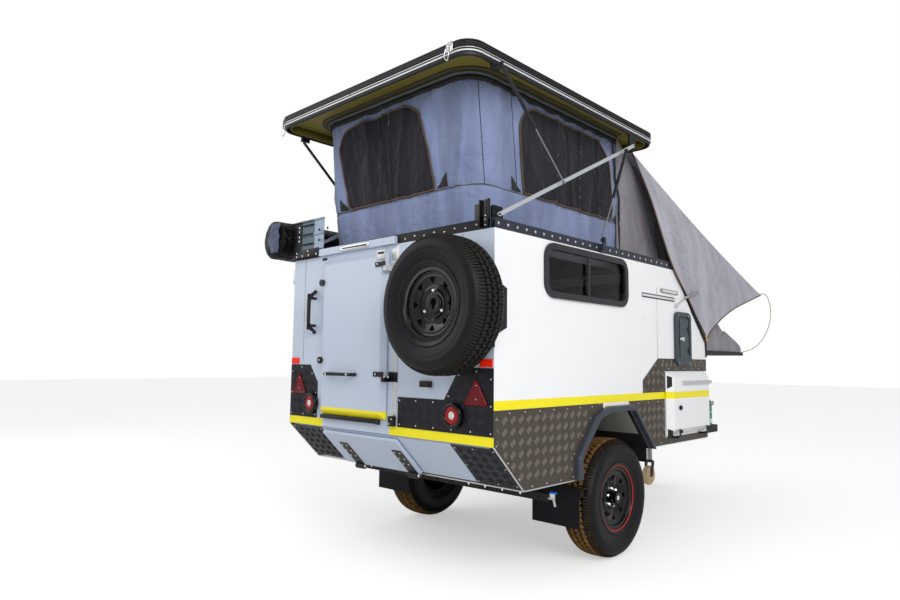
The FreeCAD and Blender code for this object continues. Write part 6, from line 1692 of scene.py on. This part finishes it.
class TRAILER_OT_side_details(bpy.types.Operator):
    """Add the utility box's lid and latch, the side lamps, the kitchen lid's trim and the tap's lever"""
    bl_idname = "trailer.side_details"
    bl_label = "Side details"

    def execute(self, context):
        wall = -BODY_HALF
        self.utility()
        self.lamps(wall)
        self.kitchen()
        self.nose(wall)
        tap = box("water_tap")[1][2]
        slab("tap_lever", (-0.712, -0.934, tap), (-0.684, -0.890, tap + 0.010), "blue_handle", 0.004)
        # Painted shade: the channel's holes are drawn as dark domes.
        holes = [(CHANNEL_FACE, y, CHANNEL_Z) for y in np.arange(-0.85, 0.86, 0.05)]
        rivets("channel_holes", holes, 0.008, "band_black")
        self.bottle()
        return {"FINISHED"}

    def nose(self, wall):
        """The front panel's rivets, the long clamp, the strut under the bed and the trim of the nose edge."""
        rivets("side_rivets", [(0.365, wall - 0.0002, z) for z in (1.767, 1.637, 1.528)], 0.0035, "zinc",
               (0, -1, 0))
        rod("side_clamp", [(0.884, -0.995, 1.764), (1.001, -1.000, 1.826), (1.361, -1.000, 1.928)], 0.0055,
            "chrome")
        rod("side_clamp_barrel", [(1.040, -1.000, 1.838), (1.270, -1.000, 1.902)], 0.012, "zinc")
        slab("side_clamp_foot", (0.868, -0.998, 1.752), (0.900, wall, 1.780), "bright_edge")
        rod("nose_strut", [(1.227, -0.990, 1.711), (1.420, -0.990, 1.549)], 0.010, "cylinder_black")
        rod("nose_strut_rod", [(1.420, -0.990, 1.549), (1.466, -0.990, 1.505)], 0.005, "chrome")
        rod("nose_trim", [(1.180, -0.983, 1.738), (1.452, -0.983, 1.492), (1.452, -0.983, 1.362)], 0.007,
            "black_rubber")

    def utility(self):
        """The tall box's inner lid with its bright latch, two black hinges and corner screws."""
        face = box("utility_box")[0][1]
        inner = face + 0.010
        prism("utility_lid", round_outline(0.150, 0.336, 0.022), (1.004, inner - 0.0002, 1.494), (1, 0, 0),
              UP, (0, -0.007, 0), "utility_face", 0.002)
        slab("utility_latch", (0.948, inner - 0.020, 1.482), (0.985, inner - 0.0075, 1.518), "chrome", 0.004)
        slab("utility_latch_tongue", (0.918, inner - 0.013, 1.490), (0.950, inner - 0.0077, 1.510),
             "bright_edge")
        for name, z in (("low", 1.411), ("high", 1.580)):
            slab("utility_hinge_" + name, (1.060, inner - 0.018, z - 0.020),
                 (1.095, inner - 0.0075, z + 0.020), "black_rubber", 0.003)
            places = [(1.077, inner - 0.018, z + way * 0.010) for way in (-1, 1)]
            rivets("utility_hinge_bolts_" + name, places, 0.0045, "zinc", (0, -1, 0))
        rivets("utility_screws", [(x, face, z) for x in (0.900, 1.084) for z in (1.312, 1.690)], 0.006,
               normal=(0, -1, 0))

    def lamps(self, wall):
        """The long strip lamp between two dark lines, the oval lamp over it and the panel's seam."""
        slab("strip_back", (0.340, wall - 0.003, 1.792), (0.876, wall, 1.826), "utility_grey", 0.001)
        slab("strip_lamp", (0.342, wall - 0.006, 1.801), (0.874, wall - 0.002, 1.817), "clear_lens")
        for name, width, height, radius, y, depth, finish_name, bevel in (
                ("oval_lamp", 0.300, 0.032, 0.014, wall - 0.0002, 0.008, "zinc", 0.002),
                ("oval_lens", 0.252, 0.016, 0.007, wall - 0.008, 0.003, "clear_lens", 0.001)):
            prism(name, round_outline(width, height, radius), (0.781, y, 1.864), (1, 0, 0), UP,
                  (0, -depth, 0), finish_name, bevel)
        slab("side_seam", (0.5735, wall - 0.0012, 1.344), (0.5765, wall, 1.880), "zinc", 0.0)

    def kitchen(self):
        """The kitchen lid's lock, its knobs and its black corner pieces."""
        body = "kitchen_hatch"
        face = box("kitchen_fittings")[0][1]
        rivets("kitchen_lock", [(0.820, face - 0.0002, 0.970)], 0.012, "blue_cap", (0, -1, 0), body)
        for name, x in (("left", 0.812), ("right", 1.312)):
            rivets("kitchen_knob_" + name, [(x, face - 0.0005, 0.792)], 0.014, "black_rubber", (0, -1, 0),
                   body)
        foot = (box(body)[0][0] + 0.001, -BODY_HALF - 0.012, 0)
        for name, low, high in (("top", 1.135, 1.215), ("foot", 0.760, 0.815)):
            outline = [(0.006, low - 0.02), (0.046, low), (0.046, high - 0.012), (0.006, high)]
            prism("kitchen_corner_" + name, outline, foot, unit((1, -1, 0)), UP, (-0.0016, -0.0016, 0),
                  "black_rubber", body=body)

    def bottle(self):
        """The gas bottle's neck ring, regulator and blank label."""
        low, high = box("gas_bottle")
        x, _, z = (low + high) / 2
        radius = (high[0] - low[0]) / 2
        ring = [(0.0, radius * 0.97), (0.0, radius + 0.004), (0.012, radius + 0.004), (0.012, radius * 0.97)]
        lathe("bottle_ring", ring, (low + high) / 2 - UP * 0.02, UP, "aluminium", steps=64)
        slab("bottle_regulator", (x - 0.03, low[1] - 0.022, z + 0.045), (x + 0.02, low[1] + 0.015, z + 0.085),
             "zinc", 0.006)
        slab("bottle_label", (x - 0.018, low[1] - 0.003, z - 0.115), (x + 0.018, low[1] + 0.010, z - 0.075),
             "trim_white", 0.003)


OPERATORS = (TRAILER_OT_stage, TRAILER_OT_finishes, TRAILER_OT_wheels, TRAILER_OT_tread_plates,
             TRAILER_OT_rails, TRAILER_OT_lamps, TRAILER_OT_rear_details, TRAILER_OT_side_details,
             TRAILER_OT_tent, TRAILER_OT_nose_tent, TRAILER_OT_fly, TRAILER_OT_awning, TRAILER_OT_roof)


class TRAILER_PT_dressing(bpy.types.Panel):
    """The sidebar panel that lists every piece"""
    bl_idname = "TRAILER_PT_dressing"
    bl_label = "Camper trailer"
    bl_space_type = "VIEW_3D"
    bl_region_type = "UI"
    bl_category = "Trailer"

    def draw(self, context):
        for item in OPERATORS:
            self.layout.operator(item.bl_idname, text=item.bl_label)


CLASSES = (TrailerColours, TrailerSizes, *OPERATORS, TRAILER_PT_dressing)


def register():
    """Registers the classes and the scene's settings."""
    for item in CLASSES:
        bpy.utils.register_class(item)
    bpy.types.Scene.trailer_colours = bpy.props.PointerProperty(type=TrailerColours)
    bpy.types.Scene.trailer_sizes = bpy.props.PointerProperty(type=TrailerSizes)


def unregister():
    """Removes the settings and the classes."""
    del bpy.types.Scene.trailer_sizes
    del bpy.types.Scene.trailer_colours
    for item in reversed(CLASSES):
        bpy.utils.unregister_class(item)


def main():
    """Makes every piece in order."""
    register()
    for item in OPERATORS:
        group, operator = item.bl_idname.split(".")
        getattr(getattr(bpy.ops, group), operator)()


if __name__ == "__main__":
    main()
